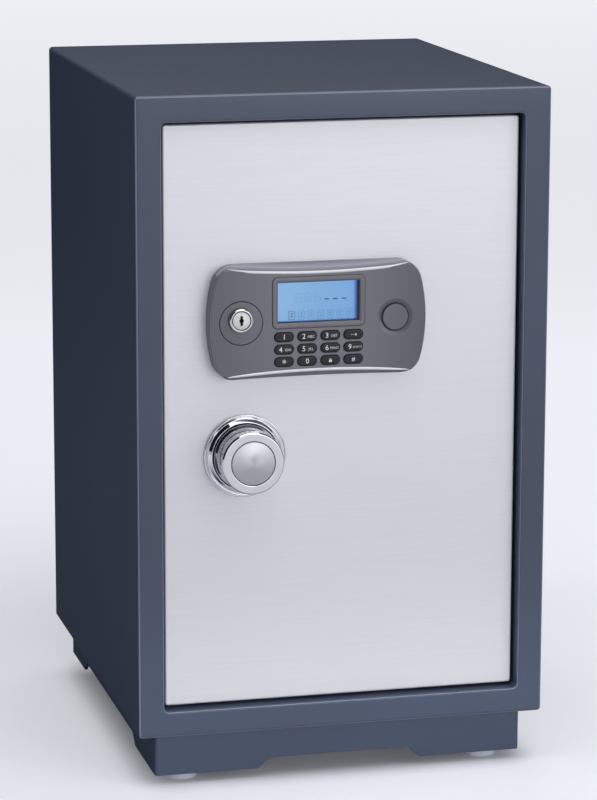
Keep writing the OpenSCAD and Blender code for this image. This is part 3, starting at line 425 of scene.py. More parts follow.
felt = felt_cloth("floor felt", (0.030, 0.034, 0.045))
wrap = cell_wrap("cell wrap")

# %% [markdown]
# Mesh helpers. Most pieces are rings of points joined by quads: an outline at one depth, the same
# outline a little smaller at the next, and so on. That gives full control of every rounded edge.
# A lathe does the same about an axis. Each ring keeps the same number of points, so quads line up.

# %% Rings and lathes
def arc(x, z, r, start, turn, n):
    """Points on an arc, from an angle in degrees and through a turn."""
    angles = [math.radians(start + turn * k / n) for k in range(n + 1)]
    return [(x + r * math.cos(a), z + r * math.sin(a)) for a in angles]


def rounded_rect(w, h, r, n=8):
    """Outline of a rectangle with round corners, centred on the origin, counter-clockwise."""
    r = max(r, 0.01)
    x, z = w / 2 - r, h / 2 - r
    return (arc(x, z, r, 0, 90, n) + arc(-x, z, r, 90, 90, n) + arc(-x, -z, r, 180, 90, n)
            + arc(x, -z, r, 270, 90, n))


def pill(w, h, n=12):
    """Outline of a pill lying along x."""
    return arc((w - h) / 2, 0.0, h / 2, -90, 180, n) + arc((h - w) / 2, 0.0, h / 2, 90, 180, n)


def circle(r, n=96):
    return [(r * math.cos(2 * math.pi * k / n), r * math.sin(2 * math.pi * k / n)) for k in range(n)]


def at(outline, depth, x=0.0, z=0.0):
    """The outline as points at one depth, moved to a centre."""
    return [(x + a, depth, z + b) for a, b in outline]


def join(bm, a, b):
    """Quads between two rows of vertices, or triangles where one of them is a single point."""
    for i in range(max(len(a), len(b))):
        corners = (a if len(a) == 1 else [a[i - 1], a[i]]) + (b if len(b) == 1 else [b[i], b[i - 1]])
        if len(corners) > 2:
            bm.faces.new(corners)


def loft(bm, rings, loop=False, ends=()):
    """Faces between rings of points, and one face over each named end. Returns the rows."""
    rows = [[bm.verts.new(p) for p in ring] for ring in rings]
    for a, b in list(zip(rows, rows[1:])) + ([(rows[-1], rows[0])] if loop else []):
        join(bm, a, b)
    for end in ends:
        bm.faces.new(rows[end])
    return rows


def fill(bm, *loops):
    """Faces between an outer loop of vertices and the loops of its holes."""
    edges = []
    for loop in loops:
        for i in range(len(loop)):
            edges.append(bm.edges.get((loop[i - 1], loop[i])) or bm.edges.new((loop[i - 1], loop[i])))
    bmesh.ops.triangle_fill(bm, use_beauty=True, use_dissolve=False, edges=edges)


def eased(points, cut, n=4):
    """Rounds the inner corners of an open profile by a cut of that length along both sides."""
    made = [points[0]]
    for a, p, b in zip(points, points[1:], points[2:]):
        a, p, b = Vector(a), Vector(p), Vector(b)
        la, lb = (a - p).length, (b - p).length
        start = p + (a - p) * (min(cut, 0.45 * la) / la)
        end = p + (b - p) * (min(cut, 0.45 * lb) / lb)
        for k in range(n + 1):
            t = k / n
            made.append(tuple(start * (1 - t) ** 2 + p * 2 * t * (1 - t) + end * t ** 2))
    return made + [points[-1]]


def lathe(bm, profile, x=0, z=0, steps=96, loop=False):
    """Turns a profile of (radius, depth) points about the line along the depth at (x, z)."""
    return loft(bm, [at(circle(r, steps), d, x, z) if r else [(x, d, z)] for r, d in profile], loop)


def solid_box(bm, low, high):
    """A closed box between two corners."""
    verts = [bm.verts.new((x, y, z)) for x in (low[0], high[0]) for y in (low[1], high[1])
             for z in (low[2], high[2])]
    for corners in ((0, 1, 3, 2), (4, 6, 7, 5), (0, 4, 5, 1), (2, 3, 7, 6), (0, 2, 6, 4), (1, 5, 7, 3)):
        bm.faces.new([verts[i] for i in corners])


def rod(bm, start, end, r, steps=48):
    """A closed round bar between two points."""
    start, end = Vector(start), Vector(end)
    turn = (end - start).to_track_quat("Z", "Y").to_matrix()
    loft(bm, [[centre + turn @ Vector((a, b, 0)) for a, b in circle(r, steps)] for centre in (start, end)],
         ends=(0, 1))


# %% [markdown]
# Finishing a mesh: put it in metres in the model's frame, make every face point outwards, shade it
# smoothly except at true corners, and weight the normals by area so that large flat faces look flat
# right up to their rounded edges. Modifiers are applied here, so what is kept is a plain mesh.

# %% Finishing a piece
def to_object(name, bm, outward=True):
    """The mesh as an object, in metres, with its faces turned outwards."""
    if outward:
        bmesh.ops.recalc_face_normals(bm, faces=bm.faces)
    mesh = bpy.data.meshes.new(name)
    bm.to_mesh(mesh)
    bm.free()
    mesh.transform(Matrix.Scale(MM, 4) @ Matrix.Translation((0, front, 0)))
    return linked(name, mesh)


def lofted(name, rings, loop=False, ends=(), merge=0.0):
    """A piece of one loft, whose points nearer than the merge distance become one."""
    bm = bmesh.new()
    loft(bm, rings, loop, ends)
    if merge:
        bmesh.ops.remove_doubles(bm, verts=bm.verts, dist=merge)
    return to_object(name, bm)


def turned(name, profile, x, z, steps=96, loop=False):
    """A piece of one lathe profile."""
    bm = bmesh.new()
    lathe(bm, profile, x, z, steps, loop)
    return to_object(name, bm)


def evaluated(obj):
    """A new mesh, as the object's modifiers or its text make it."""
    graph = bpy.context.evaluated_depsgraph_get()
    return bpy.data.meshes.new_from_object(obj.evaluated_get(graph), depsgraph=graph)


def settle(obj):
    """Replaces the mesh by what the modifiers make of it, and removes them."""
    mesh = evaluated(obj)
    obj.modifiers.clear()
    obj.data = mesh
    return obj


def shaded(obj, angle=32, bevel=0.0):
    """Optional bevel, smooth shading with sharp edges past an angle, and area-weighted normals."""
    if bevel:
        made = obj.modifiers.new("bevel", "BEVEL")
        made.width, made.segments = bevel * MM, 2
        made.limit_method, made.angle_limit = "ANGLE", math.radians(30)
        settle(obj)
    obj.data.shade_smooth()
    obj.data.set_sharp_from_angle(angle=math.radians(angle))
    weighted = obj.modifiers.new("normals", "WEIGHTED_NORMAL")
    weighted.keep_sharp, weighted.weight = True, 80
    return settle(obj)


def carved(obj, cutter, use_self=False):
    """Takes one object out of another with an exact boolean."""
    made = obj.modifiers.new("holes", "BOOLEAN")
    made.object, made.operation, made.solver = cutter, "DIFFERENCE", "EXACT"
    made.use_self = use_self
    settle(obj)
    bpy.data.objects.remove(cutter)
    return obj


def drilled(obj, rods):
    """Drills round holes: each rod is (start, end, radius)."""
    bm = bmesh.new()
    for start, end, r in rods:
        rod(bm, start, end, r)
    return carved(obj, to_object("cutter", bm))


def beside(obj, materials, node_name):
    """Gives a piece its materials, and the body of a CAD node without standing for it."""
    obj.data.materials.clear()
    for m in materials if isinstance(materials, list) else [materials]:
        obj.data.materials.append(m)
    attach(obj, frame["nodes"][node_name]["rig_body"])
    print(obj.name, len(obj.data.polygons), "faces")
    return obj


def place(obj, materials, node_name, angle=32, bevel=0.0):
    """Shades and dresses a piece that stands for a CAD node, and keeps each face's material."""
    shaded(obj, angle, bevel)
    indices = [p.material_index for p in obj.data.polygons]
    beside(obj, materials, node_name)
    obj.data.polygons.foreach_set("material_index", indices)
    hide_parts(node_name)
    return obj


# %% [markdown]
# The cabinet's shell is one bent sheet: a tube round the sides, with a frame folded in at the front.
# Its look comes from its folds. The outer fold has a radius of 3.5 mm, and the edge of the door's
# opening is rolled in with a smaller one. One closed belt of rings makes both, so the light runs
# round each fold in one clean line, and the inside wall closes the sheet. The steepest strip of each
# fold gets a paler coat: a painted highlight along the folds.

# %% Cabinet shell
def quarter_turn(r, steps, outward=False):
    """(inset, depth) steps from a wall to the face, or from the face to a wall."""
    turns = [math.pi / 2 * k / steps for k in range(steps + 1)]
    made = [(r * (1 - math.cos(a)), r * (1 - math.sin(a))) for a in turns]
    return [(-i, d) for i, d in reversed(made)] if outward else made


def belt(w, h, r, z, steps):
    """A rounded rectangle at each (inset, depth) step."""
    return [at(rounded_rect(w - 2 * i, h - 2 * i, r - i), d, 0.0, z) for i, d in steps]


jamb_low, jamb_high = extent("door_jamb")
cab_mid = (cab_low[2] + cab_high[2]) / 2
cab_w, cab_h = cab_high[0] - cab_low[0], cab_high[2] - cab_low[2]
sheet, jamb_t = 3.0, 2.5
open_w = jamb_high[0] - jamb_low[0] - 2 * jamb_t
open_h = jamb_high[2] - jamb_low[2] - 2 * jamb_t
fold_r, open_roll, open_corner = 3.5, 2.6, 4.5
fold_corner = fold_r + 0.1

outer = belt(cab_w, cab_h, fold_corner, cab_mid, [(0.0, cab_high[1])] + quarter_turn(fold_r, 6))
inner = belt(open_w, open_h, open_corner, cab_mid, quarter_turn(open_roll, 5, True) + [(0.0, sheet)])
back = belt(cab_w, cab_h, fold_corner, cab_mid, [(sheet, sheet), (sheet, cab_high[1])])
shell = lofted("cabinet_shell", outer + inner + back, loop=True)
# Painted highlight: fold faces turned half towards the front take the paler coat.
for p in shell.data.polygons:
    p.material_index = int(-0.85 < p.normal.y < -0.5)
place(shell, [paint, painted_fold_highlight], "outer_shell")

# %% [markdown]
# The jamb is the frame's return: a sleeve that lines the opening, with a strike hole for each
# locking bolt in its left wall. The holes are drilled with an exact boolean, as they are in CAD.

# %% Jamb with strike holes
bolt_low, bolt_high = extent("locking_bolts")
bolt_depth, bolt_r = (bolt_low[1] + bolt_high[1]) / 2, (bolt_high[1] - bolt_low[1]) / 2
bolt_zs = (bolt_low[2] + bolt_r, (bolt_low[2] + bolt_high[2]) / 2, bolt_high[2] - bolt_r)
strike_r, lead_in = bolt_r + 1.5, 0.6
section = [(0.0, sheet), (0.0, jamb_high[1] - lead_in), (-lead_in, jamb_high[1]), (-jamb_t, jamb_high[1]),
           (-jamb_t, sheet)]
jamb = lofted("door_jamb_sleeve", belt(open_w, open_h, open_corner, cab_mid, section), loop=True)
strikes = [((jamb_low[0] - 2, bolt_depth, z), (jamb_low[0] + 6, bolt_depth, z), strike_r) for z in bolt_zs]
place(drilled(jamb, strikes), paint, "door_jamb")

# %% [markdown]
# The plinth is a band of sheet round the foot of the cabinet. Its lower edge is cut away between the
# legs, and the cut has soft shoulders. The band is made as columns along the outline: each column
# knows how high its lower end is, from a smooth step at each shoulder.

# %% Plinth
plinth_low, plinth_high = extent("base_plinth")
px, py0, py1 = plinth_high[0], plinth_low[1], plinth_high[1]
pz0, pz1 = plinth_low[2], plinth_high[2]
notch_h, shoulder, run_out, wall = 10.5, 11.0, 2.5, 3.0
leg_w, leg_front, leg_back = 102.0, 98.0, 70.0


def soft_step(t, ease=0.22):
    """From 0 to 1 with a straight middle and short rounded ends."""
    t = min(1.0, max(0.0, t))
    if t < ease:
        return t * t / (2 * ease * (1 - ease))
    if t > 1 - ease:
        return 1 - (1 - t) ** 2 / (2 * ease * (1 - ease))
    return (t - ease / 2) / (1 - ease)


def notch_at(s, start, end):
    """Height of the cut at s along a side, for a cut between start and end."""
    wide = shoulder + 2 * run_out
    return notch_h * min(soft_step((s - start + run_out) / wide), soft_step((end + run_out - s) / wide))


def spaced(low, high, start, end):
    """Even steps along a side, with finer ones over the shoulders of its cut."""
    marks = {low, high} | {edge + k * 1.6 for edge in (start, end) for k in range(-12, 13)}
    marks |= {low + (high - low) * k / 24 for k in range(1, 24)}
    return sorted(m for m in marks if low <= m <= high)


def plinth_columns(r):
    """(x, depth, outward x, outward depth, height of the cut) round the band."""
    across, along = (leg_w - px, px - leg_w), (py0 + leg_front, py1 - leg_back)
    turns = [(math.sin(a), math.cos(a)) for a in [math.pi / 2 * k / 6 for k in range(1, 6)]]
    ys = spaced(py0 + r, py1, *along)
    made = [(x, py0, 0, -1, notch_at(x, *across)) for x in spaced(-px + r, px - r, *across)]
    made += [(px - r + r * s, py0 + r - r * c, s, -c, 0.0) for s, c in turns]
    made += [(px, y, 1, 0, notch_at(y, *along)) for y in ys]
    made += [(x, py1, 0, 1, notch_at(x, *across)) for x in spaced(-px, px, *across)[-2:0:-1]]
    made += [(-px, y, -1, 0, notch_at(y, *along)) for y in reversed(ys)]
    return made + [(-px + r - r * c, py0 + r - r * s, -c, -s, 0.0) for s, c in turns]


def inward(column, z):
    x, y, nx, ny, _ = column
    x, y = x - nx * wall, y - ny * wall
    return max(-px + wall, min(px - wall, x)), max(py0 + wall, min(py1 - wall, y)), z


columns = plinth_columns(fold_r)
rings = [[(c[0], c[1], pz0 + c[4]) for c in columns], [(c[0], c[1], pz1) for c in columns],
         [inward(c, pz1) for c in columns], [inward(c, pz0 + c[4]) for c in columns]]
place(lofted("plinth_band", rings, loop=True, merge=0.001), paint, "base_plinth", bevel=0.5)

foot_in, gusset, stud_hole = 31.0, 27.9, 4.2
foot_spots = [(x, y) for x in (foot_in - px, px - foot_in) for y in (py0 + foot_in, py1 - foot_in)]
bm = bmesh.new()
for x, y in foot_spots:
    solid_box(bm, (x - gusset, y - gusset, pz0 + 0.2), (x + gusset, y + gusset, pz0 + 4.0))
gussets = drilled(to_object("plinth_gussets", bm),
                  [((x, y, pz0 - 2), (x, y, pz0 + 6), stud_hole) for x, y in foot_spots])
beside(shaded(gussets, bevel=0.4), paint, "base_plinth")

# %% [markdown]
# Feet, screws, bolts, cells and the display's icons are all one shape repeated. Geometry Nodes do
# this in two small trees. One puts a template on each vertex of a carrier mesh, with a random turn
# from a fixed seed. The other lays a template out in a row with a given count and step. Both end in
# Realize Instances and Set Material, and the result is then turned into a plain mesh.

# %% Geometry Nodes trees that repeat a template
def start_tree(name, **sockets):
    """A tree with a Geometry input and output and the named inputs."""
    tree = bpy.data.node_groups.new(name, "GeometryNodeTree")
    tree.interface.new_socket("Geometry", in_out="OUTPUT", socket_type="NodeSocketGeometry")
    for label, kind in {"Geometry": "Geometry", **sockets, "Material": "Material"}.items():
        tree.interface.new_socket(label, in_out="INPUT", socket_type="NodeSocket" + kind)
    return tree, {s.name: s for s in tree.nodes.new("NodeGroupInput").outputs}


def end_tree(tree, instances, given):
    real = node(tree, "GeometryNodeRealizeInstances", {"Geometry": instances})
    node(tree, "NodeGroupOutput", {"Geometry": node(tree, "GeometryNodeSetMaterial", {
        "Geometry": real, "Material": given["Material"]})})
    return tree


def copied(tree, given, points, **rotation):
    """The end of a tree that puts its template on points."""
    template = node(tree, "GeometryNodeObjectInfo", {"Object": given["Template"]}, transform_space="ORIGINAL")
    copies = node(tree, "GeometryNodeInstanceOnPoints",
                  {"Points": points, "Instance": template.outputs["Geometry"], **rotation})
    return end_tree(tree, copies, given)


def points_tree():
    """A tree that puts its template on each point, turned at random about an axis."""
    tree, given = start_tree("pieces on points", Template="Object", Turn="Float", Axis="Vector", Seed="Int")
    angle = node(tree, "FunctionNodeRandomValue", {"Seed": given["Seed"]}, data_type="FLOAT").outputs[1]
    axis = node(tree, "ShaderNodeVectorMath", {0: given["Axis"],
                                               "Scale": maths(tree, "MULTIPLY", angle, given["Turn"])},
                operation="SCALE")
    rotation = node(tree, "FunctionNodeEulerToRotation", {"Euler": axis})
    return copied(tree, given, given["Geometry"], Rotation=rotation)


def row_tree():
    """A tree that lays its template out along a line."""
    tree, given = start_tree("pieces in a row", Template="Object", Count="Int", First="Vector", Step="Vector")
    line = node(tree, "GeometryNodeMeshLine", {"Count": given["Count"], "Start Location": given["First"],
                                               "Offset": given["Step"]}, mode="OFFSET")
    return copied(tree, given, line)


def grow(name, tree, runs, **given):
    """Runs a tree on a carrier of runs of points in mm, and returns a plain mesh object."""
    verts, edges = [], []
    for run in runs:
        edges += [(len(verts) + k, len(verts) + k + 1) for k in range(len(run) - 1)]
        verts += [metres(*p) for p in run]
    carrier = bpy.data.meshes.new(name)
    carrier.from_pydata(verts, edges, [])
    made = linked(name, carrier)
    modifier = made.modifiers.new("repeat", "NODES")
    modifier.node_group = tree
    for item in tree.interface.items_tree:
        if item.in_out == "INPUT" and item.name in given:
            modifier[item.identifier] = given[item.name]
    settle(made)
    if "Template" in given:
        bpy.data.objects.remove(given["Template"])
    return made


on_points, in_a_row = points_tree(), row_tree()


def grow_row(name, template, count, first, step, material):
    """A row of copies from a place in mm on, with a step in mm."""
    return grow(name, in_a_row, [[(0, 0, 0)]], Template=template, Count=count, First=Vector(metres(*first)),
                Step=Vector([s * MM for s in step]), Material=material)


def to_template(name, bm, axes=(0, 1, 2)):
    """A template keeps its own origin: its mesh is only scaled to metres. Its axes can be swapped."""
    for v in bm.verts:
        v.co = [v.co[i] for i in axes]
    made = to_object(name, bm)
    made.data.transform(Matrix.Translation((0, -front * MM, 0)))
    return made


# %% [markdown]
# A levelling foot is a turned plastic disc with a threaded stud and a nut above the gusset. The disc
# has an eased rim and a shallow step, and the nut is a true hexagon.

# %% Levelling feet
foot_low, foot_high = extent("levelling_feet")
foot_h, foot_r, neck_r, stud_r, nut_r = pz0 - foot_low[2], 16.5, 6.5, 4.0, 8.0
stud_h = foot_high[2] - pz0 + foot_h
bm = bmesh.new()
lathe(bm, eased([(0.0, 0.0), (foot_r - 0.4, 0.0), (foot_r, 0.4), (foot_r, foot_h - 3.4),
                 (foot_r - 2.2, foot_h - 1.6), (neck_r, foot_h - 0.4), (stud_r, foot_h - 0.4),
                 (stud_r, stud_h - 0.6), (stud_r - 0.8, stud_h), (0.0, stud_h)], 0.9), steps=64)
nut = ((0.93, 4.1), (1.0, 4.6), (1.0, 9.4), (0.93, 9.9))
loft(bm, [at(circle(nut_r * share, 6), foot_h + d) for share, d in nut], ends=(0, -1))
feet = grow("levelling_feet_discs", on_points, [[(x, y, foot_low[2])] for x, y in foot_spots],
            Template=to_template("foot", bm, (0, 2, 1)), Turn=1.0, Axis=(0.0, 0.0, 1.0), Seed=3,
            Material=foot_plastic)
place(feet, foot_plastic, "levelling_feet")

# %% [markdown]
# The door's skin is a shallow pan of thin sheet: a flat face with a small rolled edge and a rim
# folded back. It is drilled for the spindle, the locks, the wiring, the panel's screws and the pins.

# %% Door skin
door_w, door_h = door_high[0] - door_low[0], door_high[2] - door_low[2]
door_mid = (door_low[2] + door_high[2]) / 2
face_d, rim_d = door_low[1], door_high[1]
skin_t, door_corner, door_roll = 1.5, 3.0, 1.8
bm = bmesh.new()
steps = [(0.0, rim_d)] + [(i, face_d + d) for i, d in quarter_turn(door_roll, 5)]
outside = loft(bm, belt(door_w, door_h, door_corner, door_mid, steps), ends=(-1,))
steps = [(skin_t, rim_d), (skin_t, face_d + skin_t)]
inside = loft(bm, belt(door_w, door_h, door_corner, door_mid, steps), ends=(-1,))
join(bm, outside[0], inside[0])
pin_low, pin_high = extent("hinge_pins")
pin_x, pin_d = (pin_low[0] + pin_high[0]) / 2, (pin_low[1] + pin_high[1]) / 2
screw_low, screw_high = extent("panel_screws")
loom_z = middle("loom_grommet")[1]
spindle_hole, lock_bore, cap_bore, loom_hole = 9.0, 11.5, 8.5, 5.5
screw_hole, pin_hole, head_r = 2.3, 4.3, 4.0
through = [(knob_x, knob_z, spindle_hole), (lock_x, lock_z, lock_bore), (cap_x, cap_z, cap_bore),
           (panel_x, loom_z, loom_hole)]
through += [(x, z, screw_hole) for x in (screw_low[0] + head_r, screw_high[0] - head_r)
            for z in (screw_low[2] + head_r, screw_high[2] - head_r)]
drills = [((x, face_d - 3, z), (x, face_d + 6, z), r) for x, z, r in through]
drills += [((pin_x, pin_d, z - 4), (pin_x, pin_d, z + 4), pin_hole) for z in (door_low[2], door_high[2])]
place(drilled(to_object("door_face_sheet", bm), drills), door_silver, "door_skin")

# %% [markdown]
# The panel's housing has a straight top and bottom, bowed ends and round corners. Along the top and
# the bottom a crescent is bevelled away by a flat cone, so its ridge bows towards the middle; along
# the ends the face only rolls over a small rounded crease. Each point of the outline therefore has
# its own bevel: how far it reaches in, how deep it goes, and whether it is flat or round.

# %% Outline of the panel
panel_w, panel_h = panel_high[0] - panel_low[0], panel_high[2] - panel_low[2]
panel_d = panel_low[1]
end_r, corner_r = 155.0, 21.5
arc_x = panel_w / 2 - end_r
corner_z = panel_h / 2 - corner_r
corner_x = arc_x + math.sqrt((end_r - corner_r) ** 2 - corner_z ** 2)
end_angle = math.asin(corner_z / (end_r - corner_r))
ridge_r, bevel_w, blend_w = 900.0, 8.2, 2.5
crease_w, crease_d = 1.6, 2.2


def ridge_drop(x):
    """How far the ridge lies inside the straight edge, at a place across the panel."""
    return bevel_w - (ridge_r - math.sqrt(ridge_r ** 2 - x * x))


def bevel_at(x, z, a):
    """(reach, depth, roundness) of the bevel at a point of the outline whose outward angle is a."""
    cone_z = panel_h / 2 - bevel_w + ridge_r
    past = max(0.0, ridge_r - math.hypot(x, cone_z - z))
    share = min(1.0, past / blend_w)
    share = share * share * (3 - 2 * share)
    return (past / max(0.5, math.sin(a)) + crease_w * (1 - share),
            past * bevel_d / bevel_w + crease_d * (1 - share), 1 - share)


def panel_points():
    """(x, z, outward x, outward z, reach, depth, roundness) round the panel, counter-clockwise."""
    ends = [end_angle * k / 20 for k in range(20)]
    corners = [end_angle + (math.pi / 2 - end_angle) * k / 24 for k in range(25)]
    quarter = [(arc_x + end_r * math.cos(a), end_r * math.sin(a), a) for a in ends]
    quarter += [(corner_x + corner_r * math.cos(a), corner_z + corner_r * math.sin(a), a) for a in corners]
    quarter += [(corner_x * (1 - k / 28), panel_h / 2, math.pi / 2) for k in range(1, 29)]
    top = [(x, z, math.cos(a), math.sin(a)) + bevel_at(x, z, a) for x, z, a in quarter]
    top += [(-x, z, -nx, nz, *bevel) for x, z, nx, nz, *bevel in reversed(top[:-1])]
    return top + [(-x, -z, -nx, -nz, *bevel) for x, z, nx, nz, *bevel in top[1:-1]]


outline = panel_points()


def drawn_in(inset, depth):
    """The outline moved in by an even distance."""
    return [(panel_x + x - nx * inset, depth, panel_z + z - nz * inset) for x, z, nx, nz, *_ in outline]


def bevel_ring(t):
    """One ring of the bevel: t runs from 0 at the wall to 1 at the face."""
    made = []
    for x, z, nx, nz, w, d, q in outline:
        a = t * math.pi / 2
        inset = w * ((1 - q) * t + q * (1 - math.cos(a)))
        depth = d * ((1 - q) * (1 - t) + q * (1 - math.sin(a)))
        made.append((panel_x + x - nx * inset, panel_d + depth, panel_z + z - nz * inset))
    return made


print("panel outline", len(outline), "points; ridge lies", round(ridge_drop(0.0), 2), "mm inside the edge")

# %% [markdown]
# The housing is built as one closed wall: from its foot on the door, up its side, over the bevel to
# the face, through each opening with a tiny chamfer, and back along its inner surface. The chamfers
# are what draws the fine line round every key. The upper bevel and the crease along each end are
# painted brighter than the face, as painted highlights.

# %% Panel housing
base_d, face_t, rim, land = panel_high[1], 2.5, 0.25, 0.35
face_back, cavity, deep = panel_d + face_t, bevel_w - 0.1, panel_d + bevel_d + 1.0
key_names = [f"key_{n}" for n in range(1, 13)]
key_spots = {name: middle(name) for name in key_names}
key_w, key_h, key_gap = 18.6, 8.9, 0.3
bm = bmesh.new()
held = [(panel_x + x - nx * (w + land), panel_d, panel_z + z - nz * (w + land))
        for x, z, nx, nz, w, _, _ in outline]
outside = loft(bm, [drawn_in(0.0, base_d)] + [bevel_ring(k / 7) for k in range(8)] + [held])
inside = loft(bm, [drawn_in(*step) for step in ((face_t, base_d), (face_t, deep), (cavity, deep),
                                                (cavity, face_back))])
join(bm, outside[0], inside[0])
front_loops, rear_loops = [outside[-1]], [inside[-1]]


def opening(rings, x, z):
    """A wall through the face from (outline, depth below the face) rings, between its two loops."""
    rows = loft(bm, [at(ring, panel_d + d, x, z) for ring, d in rings])
    front_loops.append(rows[0])
    rear_loops.append(rows[-1])


for x, z in key_spots.values():
    w, h = key_w + 2 * key_gap, key_h + 2 * key_gap
    opening([(pill(w + 2 * rim, h + 2 * rim), 0.0), (pill(w, h), rim), (pill(w, h), face_t)], x, z)
ring_r, ring_gap, cap_gap, dish_r, dish_d = 20.6, 0.8, 1.1, 17.5, 1.6
cap_low, cap_high = extent("emergency_cap")
cap_r, lock_hole = half_width("emergency_cap"), ring_r + ring_gap / 2
cap_hole = cap_r + cap_gap
opening([(circle(r), d) for r, d in ((lock_hole + rim, 0.0), (lock_hole, rim), (lock_hole, face_t))],
        ring_x, ring_z)
opening([(circle(r), d) for r, d in eased([(dish_r + 0.5, 0.0), (dish_r - 0.3, 0.05),
                                           (cap_hole + 0.1, dish_d - 0.05), (cap_hole, dish_d + 0.1),
                                           (cap_hole, face_t)], 0.5)], cap_x, cap_z)
lcd_w, lcd_h = 78.8, 38.0
opening([(rounded_rect(lcd_w + 2, lcd_h + 2, 0.5), d) for d in (0.0, face_t)], lcd_x, lcd_z)
fill(bm, *front_loops)
fill(bm, *rear_loops)
housing = to_object("panel_housing_shell", bm)
bevel_z, crease_y = (panel_z + panel_h / 2 - bevel_w - 0.5) * MM, (front + panel_d + crease_d) * MM
# Painted highlights: upward faces of the upper bevel, and the crease faces along each end, get paler
# lacquers.
for p in housing.data.polygons:
    if p.normal.z > 0.6 and p.center.z > bevel_z:
        p.material_index = 1
    elif -0.85 < p.normal.y < -0.45 and abs(p.normal.x) > 0.4 and p.center.y < crease_y:
        p.material_index = 2
place(housing, [panel_lacquer_painted_shade, painted_bevel_highlight, painted_crease_highlight], "panel_housing", 28)

# %% [markdown]
# A bright line runs along each ridge and thins out to a point at both ends. It is drawn as a separate
# bead of pale silver that sits over the ridge, half on the face and half over the bevel, and stands in
# for the highlight along the ridge: a painted highlight. The ends of the upper one turn up a little
# over the bevel.

# %% Ridge beads with a painted highlight
bm = bmesh.new()
reach, half, turned_from = 88.0, 1.5, 62.0
for side, turn_up in ((1, 1.5), (-1, 0.0)):
    rings = []
    for k in range(81):
        x = reach * (2 * k / 80 - 1)
        w = half * max(0.04, math.sqrt(max(0.0, 1 - abs(x / reach) ** 5)))
        past = turn_up * (max(0.0, abs(x) - turned_from) / (reach - turned_from)) ** 2
        z = side * (panel_h / 2 - ridge_drop(x) + 0.15 * w + past)
        d = panel_d + past * bevel_d / bevel_w + 0.15 * w
        rings.append([(panel_x + x, d - 0.45 * b, panel_z + z + a) for a, b in circle(w, 16)])
    loft(bm, rings, ends=(0, -1))
beside(shaded(to_object("panel_ridge_trims", bm), 60), ridge_painted_highlight, "panel_housing")

# %% [markdown]
# The bezel is a soft raised frame round the window. Its section goes up, over a rounded top and down
# the inside, and the same rounded rectangle is drawn at each step of it.

# %% Display bezel
bezel_frame, proud, bezel_r = 5.2, 1.2, 5.0
outer_w, outer_h = lcd_w + 2 * bezel_frame, lcd_h + 2 * bezel_frame
section = eased([(0.0, 0.0), (0.1, 0.35 - proud), (0.9, -proud), (3.1, -proud), (4.2, 0.3 - proud),
                 (bezel_frame - 0.15, -0.2), (bezel_frame, 0.0)], 0.45, 3)
rings = [at(rounded_rect(outer_w - 2 * i, outer_h - 2 * i, max(0.4, bezel_r - i)), panel_d + min(d, 0.0),
            lcd_x, lcd_z) for i, d in section]
place(lofted("display_bezel", rings, loop=True, merge=0.0005), bezel_lacquer, "lcd_bezel")

# %% [markdown]
# Three thin dark lines set the pieces apart from the panel's face: the seam round the bezel, the
# groove round the lock's disc, and the gap round the cap. Each is a flat dark ring laid in the gap:
# painted shadow in the seam, painted shade in the groove and at the bottom of the cap's gap.

# %% Seams in the panel's face
def seam(name, inner, outer, low, high, x, z, material):
    """A flat ring between two outlines, from one depth below the face to another."""
    corners = (inner, low), (outer, low), (outer, high), (inner, high)
    rings = [at(line, panel_d + d, x, z) for line, d in corners]
    beside(shaded(lofted(name, rings, loop=True)), material, "panel_housing")


seam("display_seam", rounded_rect(outer_w, outer_h, bezel_r),
     rounded_rect(outer_w + 1, outer_h + 1, bezel_r + 0.5), -0.03, 0.0, lcd_x, lcd_z, painted_seam_shadow)
seam("lock_groove", circle(lock_hole - ring_gap + 0.05), circle(lock_hole - 0.03), 0.6, 2.4, ring_x, ring_z,
     painted_recess_shade)
seam("cap_seal", circle(cap_r + 0.1), circle(cap_hole - 0.03), 1.65, 2.4, cap_x, cap_z, painted_recess_shade)

# %% [markdown]
# Behind the pane lies the display itself: a thin slab with the glow, and on it the segments. Three
# digits read as bars, three more rest, and a row of seven square icons runs along the lower edge.
# The row is a job for the second Geometry Nodes tree.

# %% Display and its segments
module_low, module_high = extent("lcd_module")
bm = bmesh.new()
solid_box(bm, module_low, module_high)
place(to_object("display_slab", bm), glow_blue, "lcd_module", bevel=0.3)
mark_d, mark_t = module_low[1], 0.05


def marks(name, material, bars):
    """Flat bars on the display, each (x, z, width, height) from the pane's centre."""
    bm = bmesh.new()
    for x, z, w, h in bars:
        solid_box(bm, (lcd_x + x - w / 2, mark_d - mark_t, lcd_z + z - h / 2),
                  (lcd_x + x + w / 2, mark_d, lcd_z + z + h / 2))
    beside(to_object(name, bm), material, "lcd_module")


marks("display_bars", mark_dark, [(x, 1.25, 4.5, 1.1) for x in (9.1, 17.4, 25.9)])
digit_w, digit_h, stroke, rest_z = 4.6, 7.6, 0.6, 3.5
resting = []
for x in (-17.9, -9.2, 0.0):
    resting += [(x, rest_z + dz, digit_w, stroke) for dz in (-digit_h / 2, 0.0, digit_h / 2)]
    resting += [(x + dx, rest_z + dz, stroke, digit_h / 2 - 0.7)
                for dx in (-digit_w / 2 - 0.4, digit_w / 2 + 0.4) for dz in (-digit_h / 4, digit_h / 4)]
marks("display_resting_digits", mark_faint, resting)
icon_w, icon_h, icon_x, icon_z, icon_step, line_w = 5.8, 7.8, -24.7, -13.1, 9.3, 0.7


